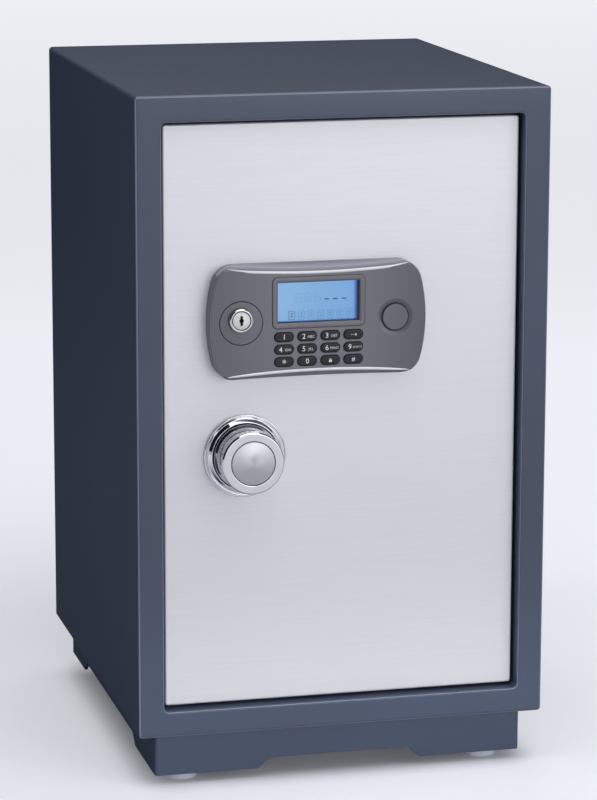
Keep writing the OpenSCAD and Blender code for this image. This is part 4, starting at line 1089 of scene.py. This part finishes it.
def icon_row(name, first, count, material):
    """A framed cross, repeated along the display's lower edge."""
    bm = bmesh.new()
    for x, z, w, h in ((0, icon_h / 2, icon_w, line_w), (0, -icon_h / 2, icon_w, line_w),
                       (-icon_w / 2, 0, line_w, icon_h), (icon_w / 2, 0, line_w, icon_h),
                       (0, 1.6, icon_w * 0.5, 1.0), (0, -1.4, icon_w * 0.6, 1.0), (0, 0.2, 1.0, 4.2)):
        solid_box(bm, (x - w / 2, -mark_t, z - h / 2), (x + w / 2, 0.0, z + h / 2))
    start = (lcd_x + icon_x + first * icon_step, mark_d, lcd_z + icon_z)
    beside(grow_row(name, to_template("icon", bm), count, start, (icon_step, 0, 0), material), material,
           "lcd_module")


icon_row("display_first_icon", 0, 1, mark_half)
icon_row("display_icons", 1, 6, mark_icon)

# %% [markdown]
# The keys are twelve separate pieces, because each one moves by itself. A key is a pill with a
# softly rounded rim and a flange that holds it behind the face. Its legend is printed: text turned
# into a thin mesh that sits a few hundredths of a millimetre above the cap.

# %% Key legends
def text_mesh(words, size, x, z, weight=0.006):
    """Text as flat faces, centred on (x, z)."""
    curve = bpy.data.curves.new("words", "FONT")
    curve.body, curve.size = words, size
    curve.align_x, curve.align_y = "CENTER", "CENTER"
    curve.resolution_u, curve.offset = 3, weight * size
    holder = linked("words", curve)
    mesh = evaluated(holder)
    bpy.data.objects.remove(holder)
    made = [(x + v.co.x, z + v.co.y) for v in mesh.vertices], [list(p.vertices) for p in mesh.polygons]
    bpy.data.meshes.remove(mesh)
    return made


def outlines(x, z, *shapes):
    return [([(x + a, z + b) for a, b in shape], [list(range(len(shape)))]) for shape in shapes]


def arrow_marks(x, z):
    """Two short bars and a triangle that points to the left, against a bar."""
    def bar(left, right, h):
        return [(left, -h), (right, -h), (right, h), (left, h)]
    return outlines(x, z, bar(-3.2, -2.2, 0.25), bar(-1.7, -0.7, 0.25),
                    [(0.0, 0.0), (1.5, -1.1), (1.5, 1.1)], bar(1.8, 2.3, 1.1))


def padlock_marks(x, z):
    """A small body with a bow over it."""
    turns = [math.pi * k / 8 for k in range(9)]
    bow = [(1.0 * math.cos(a), 0.5 + 1.1 * math.sin(a)) for a in turns]
    bow += [(0.5 * math.cos(a), 0.5 + 0.6 * math.sin(a)) for a in reversed(turns)]
    return outlines(x, z, [(-1.4, -1.8), (1.4, -1.8), (1.4, 0.4), (-1.4, 0.4)], bow)


key_words = {"key_1": ("1", ""), "key_2": ("2", "ABC"), "key_3": ("3", "DEF"), "key_5": ("4", "GHI"),
             "key_6": ("5", "JKL"), "key_7": ("6", "MNO"), "key_8": ("9", "WXYZ"), "key_9": ("*", ""),
             "key_10": ("0", ""), "key_12": ("#", "")}
digit_size = 6.8


def legend(name, x, z):
    """The printed marks of a key, each as points and faces."""
    digit, letters = key_words.get(name, ("", ""))
    if letters:
        small = 3.6 if len(letters) < 4 else 3.0
        return [text_mesh(digit, digit_size, x - 3.4, z), text_mesh(letters, small, x + 3.5, z - 0.3, -0.005)]
    if digit:
        size, drop = {"*": (9.0, 1.3), "#": (5.6, 0.0)}.get(digit, (digit_size, 0.0))
        return [text_mesh(digit, size, x, z - drop)]
    return arrow_marks(x + 0.7, z) if name == "key_4" else padlock_marks(x, z)


# %% Keys
(_, key_front, _), (_, key_back, _) = extent("key_1")
flange_d, print_d = key_back - 1.4, key_front - 0.03
key_profile = eased([(-1.0, key_back), (-1.0, flange_d), (0.0, flange_d), (0.0, key_front + 0.9),
                     (0.35, key_front + 0.3), (1.3, key_front + 0.02), (2.6, key_front)], 0.35, 3)
for name, (x, z) in key_spots.items():
    bm = bmesh.new()
    loft(bm, [at(pill(key_w - 2 * i, key_h - 2 * i), d, x, z) for i, d in key_profile], ends=(0, -1))
    bmesh.ops.recalc_face_normals(bm, faces=bm.faces)
    for points, faces in legend(name, x, z):
        verts = [bm.verts.new((a, print_d, b)) for a, b in points]
        for f in faces:
            made = bm.faces.new([verts[i] for i in f])
            made.material_index = 1
            made.normal_update()
            if made.normal.y > 0:
                made.normal_flip()
    place(to_object(name + "_cap", bm, outward=False), [key_black, legend_white], name, 40)

# %% [markdown]
# The key lock sits in a flat disc with a thin dark groove round it, which is painted shade. The lock's
# axis lies a little above the middle of the disc, so the disc cannot be turned as one profile: its rim
# is lofted about one centre and its bore about the other, and flat faces join the two. The barrel is
# turned metal with a bright bevel; its faces round the bore are painted dark, as the shade between
# barrel and plug. The plug in it has a fine ring and a keyhole, which is a slot with a round middle cut
# several millimetres deep; its walls past the first millimetre are painted black as shade, so that it
# stays black from any side.

# %% Lock disc and barrel
def paint_shade_ring(obj, x, z, inner, outer):
    """Marks the faces that lie between two radii about an axis for the piece's second material, its painted
    shade.
    """
    for p in obj.data.polygons:
        p.material_index = int(inner < math.hypot(p.center.x / MM - x, p.center.z / MM - z) < outer)


disc_back = extent("lock_escutcheon")[1][1]
barrel_low, barrel_high = extent("lock_barrel")
plug_low, plug_high = extent("lock_plug")
disc_r, disc_flange = ring_r - ring_gap / 2, half_width("lock_escutcheon")
barrel_r, plug_r = half_width("lock_barrel"), half_width("lock_plug")
bm = bmesh.new()
rim_rows = loft(bm, [at(circle(r), d, ring_x, ring_z) for r, d in (
    (disc_flange, disc_back), (disc_flange, face_back), (disc_r, face_back), (disc_r, panel_d + 0.3),
    (disc_r - 0.1, panel_d + 0.1), (disc_r - 0.3, panel_d))])
bore_rows = loft(bm, [at(circle(r), d, lock_x, lock_z) for r, d in (
    (barrel_r + 0.3, panel_d), (barrel_r + 0.02, panel_d + 0.3), (barrel_r + 0.02, disc_back))])
fill(bm, rim_rows[-1], bore_rows[0])
fill(bm, rim_rows[0], bore_rows[-1])
place(to_object("lock_disc", bm), panel_lacquer_painted_shade, "lock_escutcheon")
lip, bore, barrel_back = barrel_low[1], plug_r + 0.06, barrel_high[1]
barrel = turned("lock_barrel_turned",
                eased([(bore, barrel_back), (barrel_r, barrel_back), (barrel_r, lip + 1.5),
                       (barrel_r - 0.4, lip + 0.7), (barrel_r - 1.5, lip), (plug_r + 0.8, lip),
                       (bore, lip + 0.8), (bore, barrel_back - 1)], 0.3, 3), lock_x, lock_z, loop=True)
# Painted shade: the barrel's faces round its bore, where it meets the plug.
paint_shade_ring(barrel, lock_x, lock_z, 0.0, plug_r + 0.75)
place(barrel, [lock_chrome, painted_recess_shade], "lock_barrel", 40)

# %% Plug with its keyhole
def keyhole(r, n=10):
    """Outline of a slot with a round middle, for a plug of radius r."""
    half_w, half_h, eye = 0.14 * r, 0.54 * r, 0.25 * r
    a0 = math.asin(half_w / eye)
    right = [(eye * math.cos(a), eye * math.sin(a))
             for a in [-(math.pi / 2 - a0) + (math.pi - 2 * a0) * k / n for k in range(n + 1)]]
    left = [(-x, -z) for x, z in right]
    return [(half_w, -half_h)] + right + [(half_w, half_h), (-half_w, half_h)] + left + [(-half_w, -half_h)]


plug_face, plug_end, body_end, hole_d = plug_low[1], plug_high[1], 26.0, 8.0
bm = bmesh.new()
body = lathe(bm, [(plug_r, body_end), (plug_r, plug_face + 0.35), (plug_r - 0.3, plug_face),
                  (0.8 * plug_r, plug_face), (0.78 * plug_r, plug_face + 0.15), (0.76 * plug_r, plug_face)],
             lock_x, lock_z, 72)
hole = loft(bm, [at(keyhole(plug_r), plug_face + d, lock_x, lock_z) for d in (0.0, hole_d)])
fill(bm, body[-1], hole[0])
fill(bm, hole[-1])
bm.faces.new(body[0])
rod(bm, (lock_x, body_end - 0.2, lock_z), (lock_x, plug_end - 0.1, lock_z), plug_r / 2)
solid_box(bm, (lock_x - plug_r / 2, plug_end - 3.0, lock_z - plug_r / 2),
          (lock_x + plug_r / 2, plug_end, plug_high[2]))
plug = to_object("lock_plug_turned", bm)
# Painted shade: the keyhole's walls past its first millimetre.
for p in plug.data.polygons:
    corners = [plug.data.vertices[i].co / MM for i in p.vertices]
    in_hole = all(abs(c.x - lock_x) < 0.3 * plug_r and c.y - front < plug_face + hole_d + 0.1
                  for c in corners)
    p.material_index = int(in_hole and p.center.y / MM - front > plug_face + 1.0)
place(plug, [plug_satin, painted_recess_shade], "lock_plug")

# %% [markdown]
# The round cap hides the emergency lock. It lies almost flush in a shallow dish, with a dark gap
# round it, and only its slightly rounded rim shows that it can be pulled out.

# %% Emergency cap
cap_front, cap_back = cap_low[1], cap_high[1]
cap = turned("emergency_cap_disc",
             eased([(0.0, cap_front), (cap_r - 0.9, cap_front), (cap_r - 0.25, cap_front + 0.15),
                    (cap_r, cap_front + 0.7), (cap_r, face_back), (cap_r - 1, face_back),
                    (cap_r - 1, cap_back), (cap_r - 2.5, cap_back), (cap_r - 2.5, face_back + 0.1),
                    (0.0, face_back)], 0.3, 3),
             cap_x, cap_z)
place(cap, panel_lacquer_painted_shade, "emergency_cap")

# %% [markdown]
# The knob is the brightest thing on the door. A chromed rose lies against the door, with a raised
# rim; above it the drum narrows to a waist and flares into a front ring with a deep rounded lip, and
# a satin dome fills the ring. Profiles of a dozen points, eased at each corner, give the lathe work
# enough shape to carry real reflections.

# %% Rose, knob and dome
def out(profile):
    """Turns (radius, reach in front of the door) into (radius, depth)."""
    return [(r, face_d - reach) for r, reach in profile]


rose_low, rose_high = extent("knob_rose")
rose_r, rose_t, rose_bore = half_width("knob_rose"), rose_high[1] - rose_low[1], 9.0
rose = turned("knob_rose_turned",
              eased(out([(rose_bore, 0.0), (rose_r, 0.0), (rose_r, 2.0), (rose_r - 0.5, 3.6),
                         (rose_r - 1.3, 4.0), (rose_r - 2.1, 3.4), (35.7, 3.2), (32.9, rose_t),
                         (32.2, rose_t), (31.9, rose_t - 0.8), (29.5, rose_t - 1.5),
                         (rose_bore, rose_t - 1.5), (rose_bore, 0.3)]), 0.35),
              knob_x, knob_z, 160, loop=True)
place(rose, chrome, "knob_rose", 50)

disc_face = face_d - extent("knob")[0][1]
foot_d, drum_r, lip_r, knob_bore = rose_t + 0.5, 28.0, 30.0, 6.05
dome_r, dome_rise = half_width("knob_dome"), face_d - extent("knob_dome")[0][1] - disc_face
knob = turned("knob_turned",
              eased(out([(knob_bore, foot_d), (drum_r + 3, foot_d), (drum_r + 3, foot_d + 1.0),
                         (drum_r + 0.5, foot_d + 4.0), (drum_r, foot_d + 5.5), (drum_r, foot_d + 11),
                         (drum_r, disc_face - 12), (drum_r + 0.5, disc_face - 8.7),
                         (lip_r - 0.4, disc_face - 6.6), (lip_r, disc_face - 5.6), (lip_r, disc_face - 1.5),
                         (lip_r - 1.5, disc_face), (dome_r + 1.0, disc_face), (dome_r + 0.4, disc_face - 0.6),
                         (dome_r + 0.3, disc_face - 3), (knob_bore, disc_face - 3),
                         (knob_bore, foot_d + 1.5)]), 0.6), knob_x, knob_z, 160, loop=True)
# Painted shade: a thin ring round the dome's seat.
paint_shade_ring(knob, knob_x, knob_z, dome_r, dome_r + 0.85)
place(knob, [chrome, painted_recess_shade], "knob", 50)
sphere_r = (dome_r ** 2 + dome_rise ** 2) / (2 * dome_rise)
radii = [dome_r * math.sin(k / 24 * math.pi / 2) for k in range(25)]
crown = [(r, disc_face + dome_rise - (sphere_r - math.sqrt(sphere_r ** 2 - r * r))) for r in radii]
dome = turned("knob_dome_turned", out(crown + [(dome_r, disc_face - 2.9), (0.0, disc_face - 2.9)]),
              knob_x, knob_z, 128)
place(dome, dome_satin, "knob_dome")

# %% [markdown]
# The locking bolts are three equal chromed bars with a chamfered nose. They ride on one carriage, so
# one row from the second tree makes them all.

# %% Locking bolts
bolt_len = bolt_high[0] - bolt_low[0]
bm = bmesh.new()
lathe(bm, eased([(0.0, 0.0), (bolt_r - 2.0, 0.0), (bolt_r, 2.0), (bolt_r, bolt_len), (0.0, bolt_len)], 0.6),
      steps=64)
bolts = grow_row("locking_bolt_bars", to_template("bolt", bm, (1, 0, 2)), 3,
                 (bolt_low[0], bolt_depth, bolt_zs[0]), (0, 0, bolt_zs[1] - bolt_zs[0]), bolt_chrome)
place(bolts, bolt_chrome, "locking_bolts")

# %% [markdown]
# Cover screws have a low domed head with a cross recess. The recess is cut by a boolean in the
# template, and the first tree puts the eight of them in place, each turned a little differently.

# %% Cover screws
chassis_low, chassis_high = extent("bolt_chassis")
shank_r, shank_h, head_h, flange, cover_t = 2.0, 4.8, 1.6, 7.0, 1.5
bm = bmesh.new()
lathe(bm, eased([(0.0, head_h), (2.2, head_h - 0.1), (3.6, head_h - 0.7), (head_r, 0.15), (head_r, 0.0),
                 (shank_r, 0.0), (shank_r, -shank_h), (0.0, -shank_h)], 0.5, 3), steps=40)
screw = to_template("screw", bm)
bm = bmesh.new()
for w, h in ((0.9, 3.6), (3.6, 0.9)):
    solid_box(bm, (-w / 2, head_h - 0.9, -h / 2), (w / 2, head_h + 1, h / 2))
carved(screw, to_template("recess", bm), use_self=True)
xs, zs = [(chassis_low[i] + flange, (chassis_low[i] + chassis_high[i]) / 2, chassis_high[i] - flange)
          for i in (0, 2)]
spots = [(x, z) for x in (xs[0], xs[2]) for z in zs] + [(xs[1], zs[0]), (xs[1], zs[2])]
screws = grow("cover_screw_heads", on_points, [[(x, chassis_high[1] + cover_t, z)] for x, z in spots],
              Template=screw, Turn=1.5, Axis=(0.0, 1.0, 0.0), Seed=11, Material=zinc)
place(screws, zinc, "cover_screws")

# %% [markdown]
# Four cells lie side by side in the battery box. Each is a turned can with a rolled edge and a nub.

# %% Cells
cell_low, cell_high = extent("batteries")
cell_r, nub, cell_d = 7.25, 1.5, (cell_low[1] + cell_high[1]) / 2
cell_len = cell_high[2] - cell_low[2] - nub
cell_step = (cell_high[0] - cell_low[0] - 2 * cell_r) / 3
bm = bmesh.new()
lathe(bm, eased([(0.0, 0.15), (5.6, 0.15), (6.0, 0.0), (cell_r, 0.0), (cell_r, cell_len), (6.2, cell_len),
                 (5.9, cell_len - 0.3), (2.7, cell_len - 0.1), (2.6, cell_len + nub), (0.0, cell_len + nub)],
                0.5, 3), steps=48)
cells = grow_row("battery_cells", to_template("cell", bm, (0, 2, 1)), 4,
                 (cell_low[0] + cell_r, cell_d, cell_low[2]), (cell_step, 0, 0), wrap)
place(cells, wrap, "batteries")

# %% [markdown]
# The wiring loom is a sleeve of corrugated tube with cable ties. A third tree makes it: the path is
# resampled, its radius is waved along its length, and a ring-shaped tie is put at even steps. The
# path repeats the corners that the CAD solid has.

# %% Loom
bend_r, tie_w, tie_share = 7.0, 3.0, 1.12


def loom_tree():
    tree, given = start_tree("sleeved wire", Radius="Float", Depth="Float", Pitch="Float", Step="Float")
    path = node(tree, "GeometryNodeMeshToCurve", {"Mesh": given["Geometry"]})
    rounded = node(tree, "GeometryNodeFilletCurve", {"Curve": path, "Count": 8, "Radius": bend_r * MM},
                   mode="POLY")
    fine = node(tree, "GeometryNodeResampleCurve",
                {"Curve": rounded, "Length": maths(tree, "DIVIDE", given["Pitch"], 4.0)}, mode="LENGTH")
    index = node(tree, "GeometryNodeInputIndex")
    wave = maths(tree, "SINE", maths(tree, "MULTIPLY", index, math.pi / 2))
    swell = maths(tree, "MULTIPLY_ADD", wave, given["Depth"], 1.0)
    ring = node(tree, "GeometryNodeCurvePrimitiveCircle", {"Resolution": 14, "Radius": given["Radius"]})
    waved = node(tree, "GeometryNodeSetCurveRadius", {"Curve": fine, "Radius": swell})
    tube = node(tree, "GeometryNodeCurveToMesh", {"Curve": waved, "Profile Curve": ring, "Fill Caps": True})
    if "Scale" in tube.inputs:
        tree.links.new(swell.outputs[0], tube.inputs["Scale"])
    stops = node(tree, "GeometryNodeCurveToPoints", {"Curve": rounded, "Length": given["Step"]},
                 mode="LENGTH")
    wide = maths(tree, "MULTIPLY", given["Radius"], tie_share)
    tie = node(tree, "GeometryNodeMeshCylinder", {"Vertices": 20, "Radius": wide, "Depth": tie_w * MM})
    ties = node(tree, "GeometryNodeInstanceOnPoints", {"Points": stops, "Instance": tie,
                                                       "Rotation": stops.outputs["Rotation"]})
    both = node(tree, "GeometryNodeJoinGeometry")
    for part in (tube, ties):
        tree.links.new(part.outputs[0], both.inputs["Geometry"])
    return end_tree(tree, both, given)


loom_low, _ = extent("wire_loom")
coil_low, coil_high = extent("solenoid_body")
box_low, box_high = extent("battery_box")
wire_r, sleeve_r, loom_d = 2.5, 2.3, 23.0
tray_x, drop_z = (box_low[0] + box_high[0]) / 2, box_high[2] + 37.0
coil_z = (coil_low[2] + coil_high[2]) / 2
runs = [[(panel_x, loom_low[1] + wire_r, loom_z), (panel_x, loom_d, loom_z), (panel_x, loom_d, coil_z),
         (coil_high[0] + 1.0, loom_d, coil_z)],
        [(panel_x, loom_d, loom_z), (tray_x, loom_d, loom_z), (tray_x, loom_d, drop_z),
         (tray_x, cell_d, drop_z), (tray_x, cell_d, box_high[2] + 0.5)]]
loom = grow("wire_loom_sleeve", loom_tree(), runs, Radius=sleeve_r * MM, Depth=0.07, Pitch=3.0 * MM,
            Step=42.0 * MM, Material=sleeve)
place(loom, sleeve, "wire_loom", 50)

# %% [markdown]
# The felt mat lies on the liner's floor. Cloth that has been cut and laid is never quite flat, so
# its top rises and falls by a fraction of a millimetre and its edges are soft.

# %% Felt mat
mat_low, mat_high = extent("floor_mat")
mat_w, mat_l, mat_t = [high - low for low, high in zip(mat_low, mat_high)]
nx, ny, mat_under = 70, 72, 0.05
mean_share, wave_share, waves, edge_share, edge_w = 0.86, 0.10, 5.0, 0.35, 3.0


def mat_height(u, v):
    """Height of the felt's top at a share of its width and of its length."""
    edge = min(u * mat_w, (1 - u) * mat_w, v * mat_l, (1 - v) * mat_l)
    wave = noise.noise(Vector((u * waves, v * waves, 2.0)))
    return mat_t * (mean_share + wave_share * wave) * min(1.0, edge_share + edge / edge_w)


bm = bmesh.new()
grid = [[[bm.verts.new((mat_low[0] + mat_w * i / nx, mat_low[1] + mat_l * (j / ny),
                        mat_low[2] + (mat_height(i / nx, j / ny) if top else mat_under)))
          for i in range(nx + 1)] for j in range(ny + 1)] for top in (False, True)]
for rows in grid:
    for a, b in zip(rows, rows[1:]):
        for i in range(nx):
            bm.faces.new((a[i], a[i + 1], b[i + 1], b[i]))
border = ([(0, i) for i in range(nx)] + [(j, nx) for j in range(ny)] + [(ny, i) for i in range(nx, 0, -1)]
          + [(j, 0) for j in range(ny, 0, -1)])
for (j0, i0), (j1, i1) in zip(border, border[1:] + border[:1]):
    bm.faces.new((grid[0][j0][i0], grid[0][j1][i1], grid[1][j1][i1], grid[1][j0][i0]))
mat = place(to_object("floor_felt", bm), felt, "floor_mat", 60)

# %% [markdown]
# All other rigid pieces already have their right shape in CAD. A CAD edge is perfectly sharp, which
# no sheet or casting is, so each one is copied, its loose triangles are merged and its flat faces
# joined again, and a small bevel catches the light along every edge.

# %% CAD pieces with softened edges
def copied_piece(node_name):
    """A copy of a CAD node's solid, with its triangles joined into flat faces again."""
    bm = bmesh.new()
    bm.from_mesh(frame["nodes"][node_name].data)
    bmesh.ops.remove_doubles(bm, verts=bm.verts, dist=1e-6)
    bmesh.ops.dissolve_limit(bm, angle_limit=math.radians(0.6), verts=bm.verts, edges=bm.edges)
    mesh = bpy.data.meshes.new(node_name + "_eased")
    bm.to_mesh(mesh)
    bm.free()
    return linked(node_name + "_eased", mesh)


eased_nodes = {
    "back_plate": (paint, 0.5), "door_stop": (inner_coat, 0.4), "inner_liner": (inner_coat, 0.5),
    "liner_rear": (inner_coat, 0.4), "anchor_sleeves": (zinc, 0.2), "shelf": (inner_coat, 0.5),
    "shelf_clips": (zinc, 0.2), "hinge_pins": (blackened, 0.3), "door_plate": (inner_coat, 0.3),
    "hinge_blocks": (zinc, 0.4), "bolt_chassis": (inner_coat, 0.5), "inner_cover": (inner_coat, 0.4),
    "battery_box": (black_plastic, 0.3), "battery_lid": (black_plastic, 0.25), "bolt_carriage": (zinc, 0.3),
    "guide_studs": (zinc, 0.2), "knob_bush": (brass, 0.2), "knob_spindle": (zinc, 0.3),
    "drive_cam": (zinc, 0.3), "solenoid_body": (coil_blue, 0.6), "solenoid_plunger": (zinc, 0.4),
    "loom_grommet": (rubber, 0.2), "panel_screws": (zinc, 0.2), "circuit_board": (board_green, 0.15),
    "keypad_mat": (silicone, 0.2), "lcd_window": (pane_clear, 0.1), "emergency_lock": (chrome, 0.2),
    "emergency_plug": (zinc, 0.15),
}
for name, (material, width) in eased_nodes.items():
    place(copied_piece(name), material, name, 40, width)

# %% [markdown]
# A plain pale studio: one large flat floor, because the camera always looks down on it. The camera
# sees the floor lifted towards white with distance from a point behind and left of the safe, so that
# it fades into the background but keeps the shadow; as that point lies to the left, the floor there is
# lifted less, a painted shadow to the left of the safe. Under and just round the safe the lift fades
# away, a painted contact shadow. The chrome mirrors that pale floor in front of the safe. Light that
# bounces finds white paper in front of the safe and dark paper beside and behind it, so that the sides
# stay dark.

# %% Floor
mirror_from, mirror_full, mirror_glow = -200.0, -360.0, 0.62
# These are in metres: a point on the floor behind and left of the safe, round which the glow is least,
# for a painted shadow; half the safe's footprint; and the width of the strip round it in which the glow
# grows from its least share, a painted contact shadow.
painted_shadow_centre, footprint, strip_w, least_glow = (-0.3, 0.1, 0.0), (0.16, 0.175, 0.0), 0.055, 0.15
floor_half = 30.0


@makes_material
def pale_stage(tree, colour, paper, dark, *lifts):
    """Paper that the camera sees lifted by a glow, which grows through (tens of metres, glow) stops."""
    spot = spot_in(tree)
    ahead = share_along(tree, "Y", mirror_from, mirror_full)
    seen = node(tree, "ShaderNodeBsdfDiffuse", {"Color": varied(tree, cloud(tree, 3.0), colour, 0.99, 1.01)})
    lit = node(tree, "ShaderNodeBsdfDiffuse", {"Color": shades(tree, ahead, (0.0, dark), (1.0, paper))})
    away = vectors(tree, "DISTANCE", spot, painted_shadow_centre, result="Value")
    lift = shades(tree, maths(tree, "MULTIPLY", away, 0.1), *lifts)
    past = vectors(tree, "SUBTRACT", vectors(tree, "ABSOLUTE", spot), footprint)
    gap = vectors(tree, "LENGTH", vectors(tree, "MAXIMUM", past, (0.0, 0.0, 0.0)), result="Value")
    # Painted contact shadow: the glow is least under the safe's footprint.
    shade = node(tree, "ShaderNodeMapRange", {"Value": gap, "From Max": strip_w, "To Min": least_glow},
                 interpolation_type="SMOOTHSTEP")
    glow = node(tree, "ShaderNodeEmission", {"Color": (0.96, 0.965, 1.0, 1.0),
                                             "Strength": maths(tree, "MULTIPLY", lift, shade)})
    lifted = node(tree, "ShaderNodeAddShader", {0: seen, 1: glow})
    rays = node(tree, "ShaderNodeLightPath").outputs
    mirrored = maths(tree, "MULTIPLY", rays["Is Glossy Ray"], maths(tree, "MULTIPLY", ahead, mirror_glow))
    mix = node(tree, "ShaderNodeMixShader", {"Fac": maths(tree, "MAXIMUM", rays["Is Camera Ray"], mirrored),
                                             1: lit, 2: lifted})
    node(tree, "ShaderNodeOutputMaterial", {"Surface": mix})


mesh = bpy.data.meshes.new("studio_floor")
mesh.from_pydata([(x * floor_half, y * floor_half, 0.0) for x, y in ((-1, -1), (1, -1), (1, 1), (-1, 1))], [],
                 [(0, 1, 2, 3)])
mesh.materials.append(pale_stage("studio paper", (0.58, 0.60, 0.67), (0.63, 0.62, 0.64), (0.09, 0.11, 0.14),
                                 (0.03, 0.39), (0.08, 0.50), (0.20, 0.67), (0.35, 0.74), (0.80, 0.85)))
floor = linked("studio_floor", mesh)

# %% [markdown]
# A large soft key light stands to the front right, a soft one hangs above, one behind brightens the
# roof, and a broad weak one in front is what the flat faces mirror. A weak light on the left and a
# narrow low one that reaches the plinth only fill the shade and are never mirrored. The world is
# brighter towards the front right and almost dark to the back left: the side of the cabinet falls
# into shade, and the chrome gets its dark bands.

# %% Lights and world
def softbox(name, place_at, target, w, h, power, mirrored=True, beam=180):
    """A rectangular light of w by h metres, with its power in watts, turned to face a point."""
    data = bpy.data.lights.new(name, "AREA")
    data.shape = "RECTANGLE"
    data.size, data.size_y, data.energy, data.spread = w, h, power, math.radians(beam)
    made = linked(name, data)
    made.location = place_at
    made.rotation_euler = (Vector(target) - Vector(place_at)).to_track_quat("-Z", "Y").to_euler()
    made.visible_camera, made.visible_glossy = False, mirrored


centre = (0.0, 0.0, 0.35)
softbox("key_light", (1.8, -2.7, 1.25), centre, 3.0, 2.0, 30.5)
softbox("top_light", (0.1, -1.3, 2.6), centre, 2.2, 1.6, 25.0)
softbox("front_light", (-0.3, -4.4, 0.9), centre, 3.6, 1.6, 26.0)
softbox("rear_light", (0.0, 1.2, 2.2), (0.0, 0.1, 0.66), 1.8, 1.2, 15.0)
softbox("low_light", (0.0, -1.25, 0.14), (0.0, -0.2, 0.03), 1.6, 0.15, 0.46, False, 20)
softbox("left_light", (-2.6, -0.5, 1.3), centre, 0.4, 1.3, 19.0, False)

world = bpy.data.worlds.new("studio")
scene.world = world
world.use_nodes = True
tree = world.node_tree
tree.nodes.clear()


def sky(colour, strength):
    return node(tree, "ShaderNodeBackground", {"Color": colour, "Strength": strength})


heading = node(tree, "ShaderNodeTexCoord").outputs["Generated"]
lean = vectors(tree, "DOT_PRODUCT", heading, (0.70, -0.65, -0.30), result="Value")
share = node(tree, "ShaderNodeMapRange", {"Value": lean, "From Min": -1.0, "From Max": 1.0})
level = shades(tree, share, (0.35, (0.010, 0.013, 0.020)), (0.55, (0.028, 0.034, 0.048)),
               (0.75, (0.15, 0.16, 0.18)), (0.95, (0.46, 0.47, 0.50)))
behind = node(tree, "ShaderNodeSeparateXYZ", {"Vector": heading}).outputs["Y"]
rise = node(tree, "ShaderNodeMapRange", {"Value": behind, "From Min": 0.1, "To Max": 0.05})
rear = sky((0.88, 0.94, 1.0, 1.0), rise)
around = node(tree, "ShaderNodeAddShader", {0: sky(level, 1.0), 1: rear})
seen_sky = sky((0.93, 0.95, 1.0, 1.0), 0.95)
from_camera = node(tree, "ShaderNodeLightPath").outputs["Is Camera Ray"]
mixed = node(tree, "ShaderNodeMixShader", {"Fac": from_camera, 1: around, 2: seen_sky})
node(tree, "ShaderNodeOutputWorld", {"Surface": mixed})
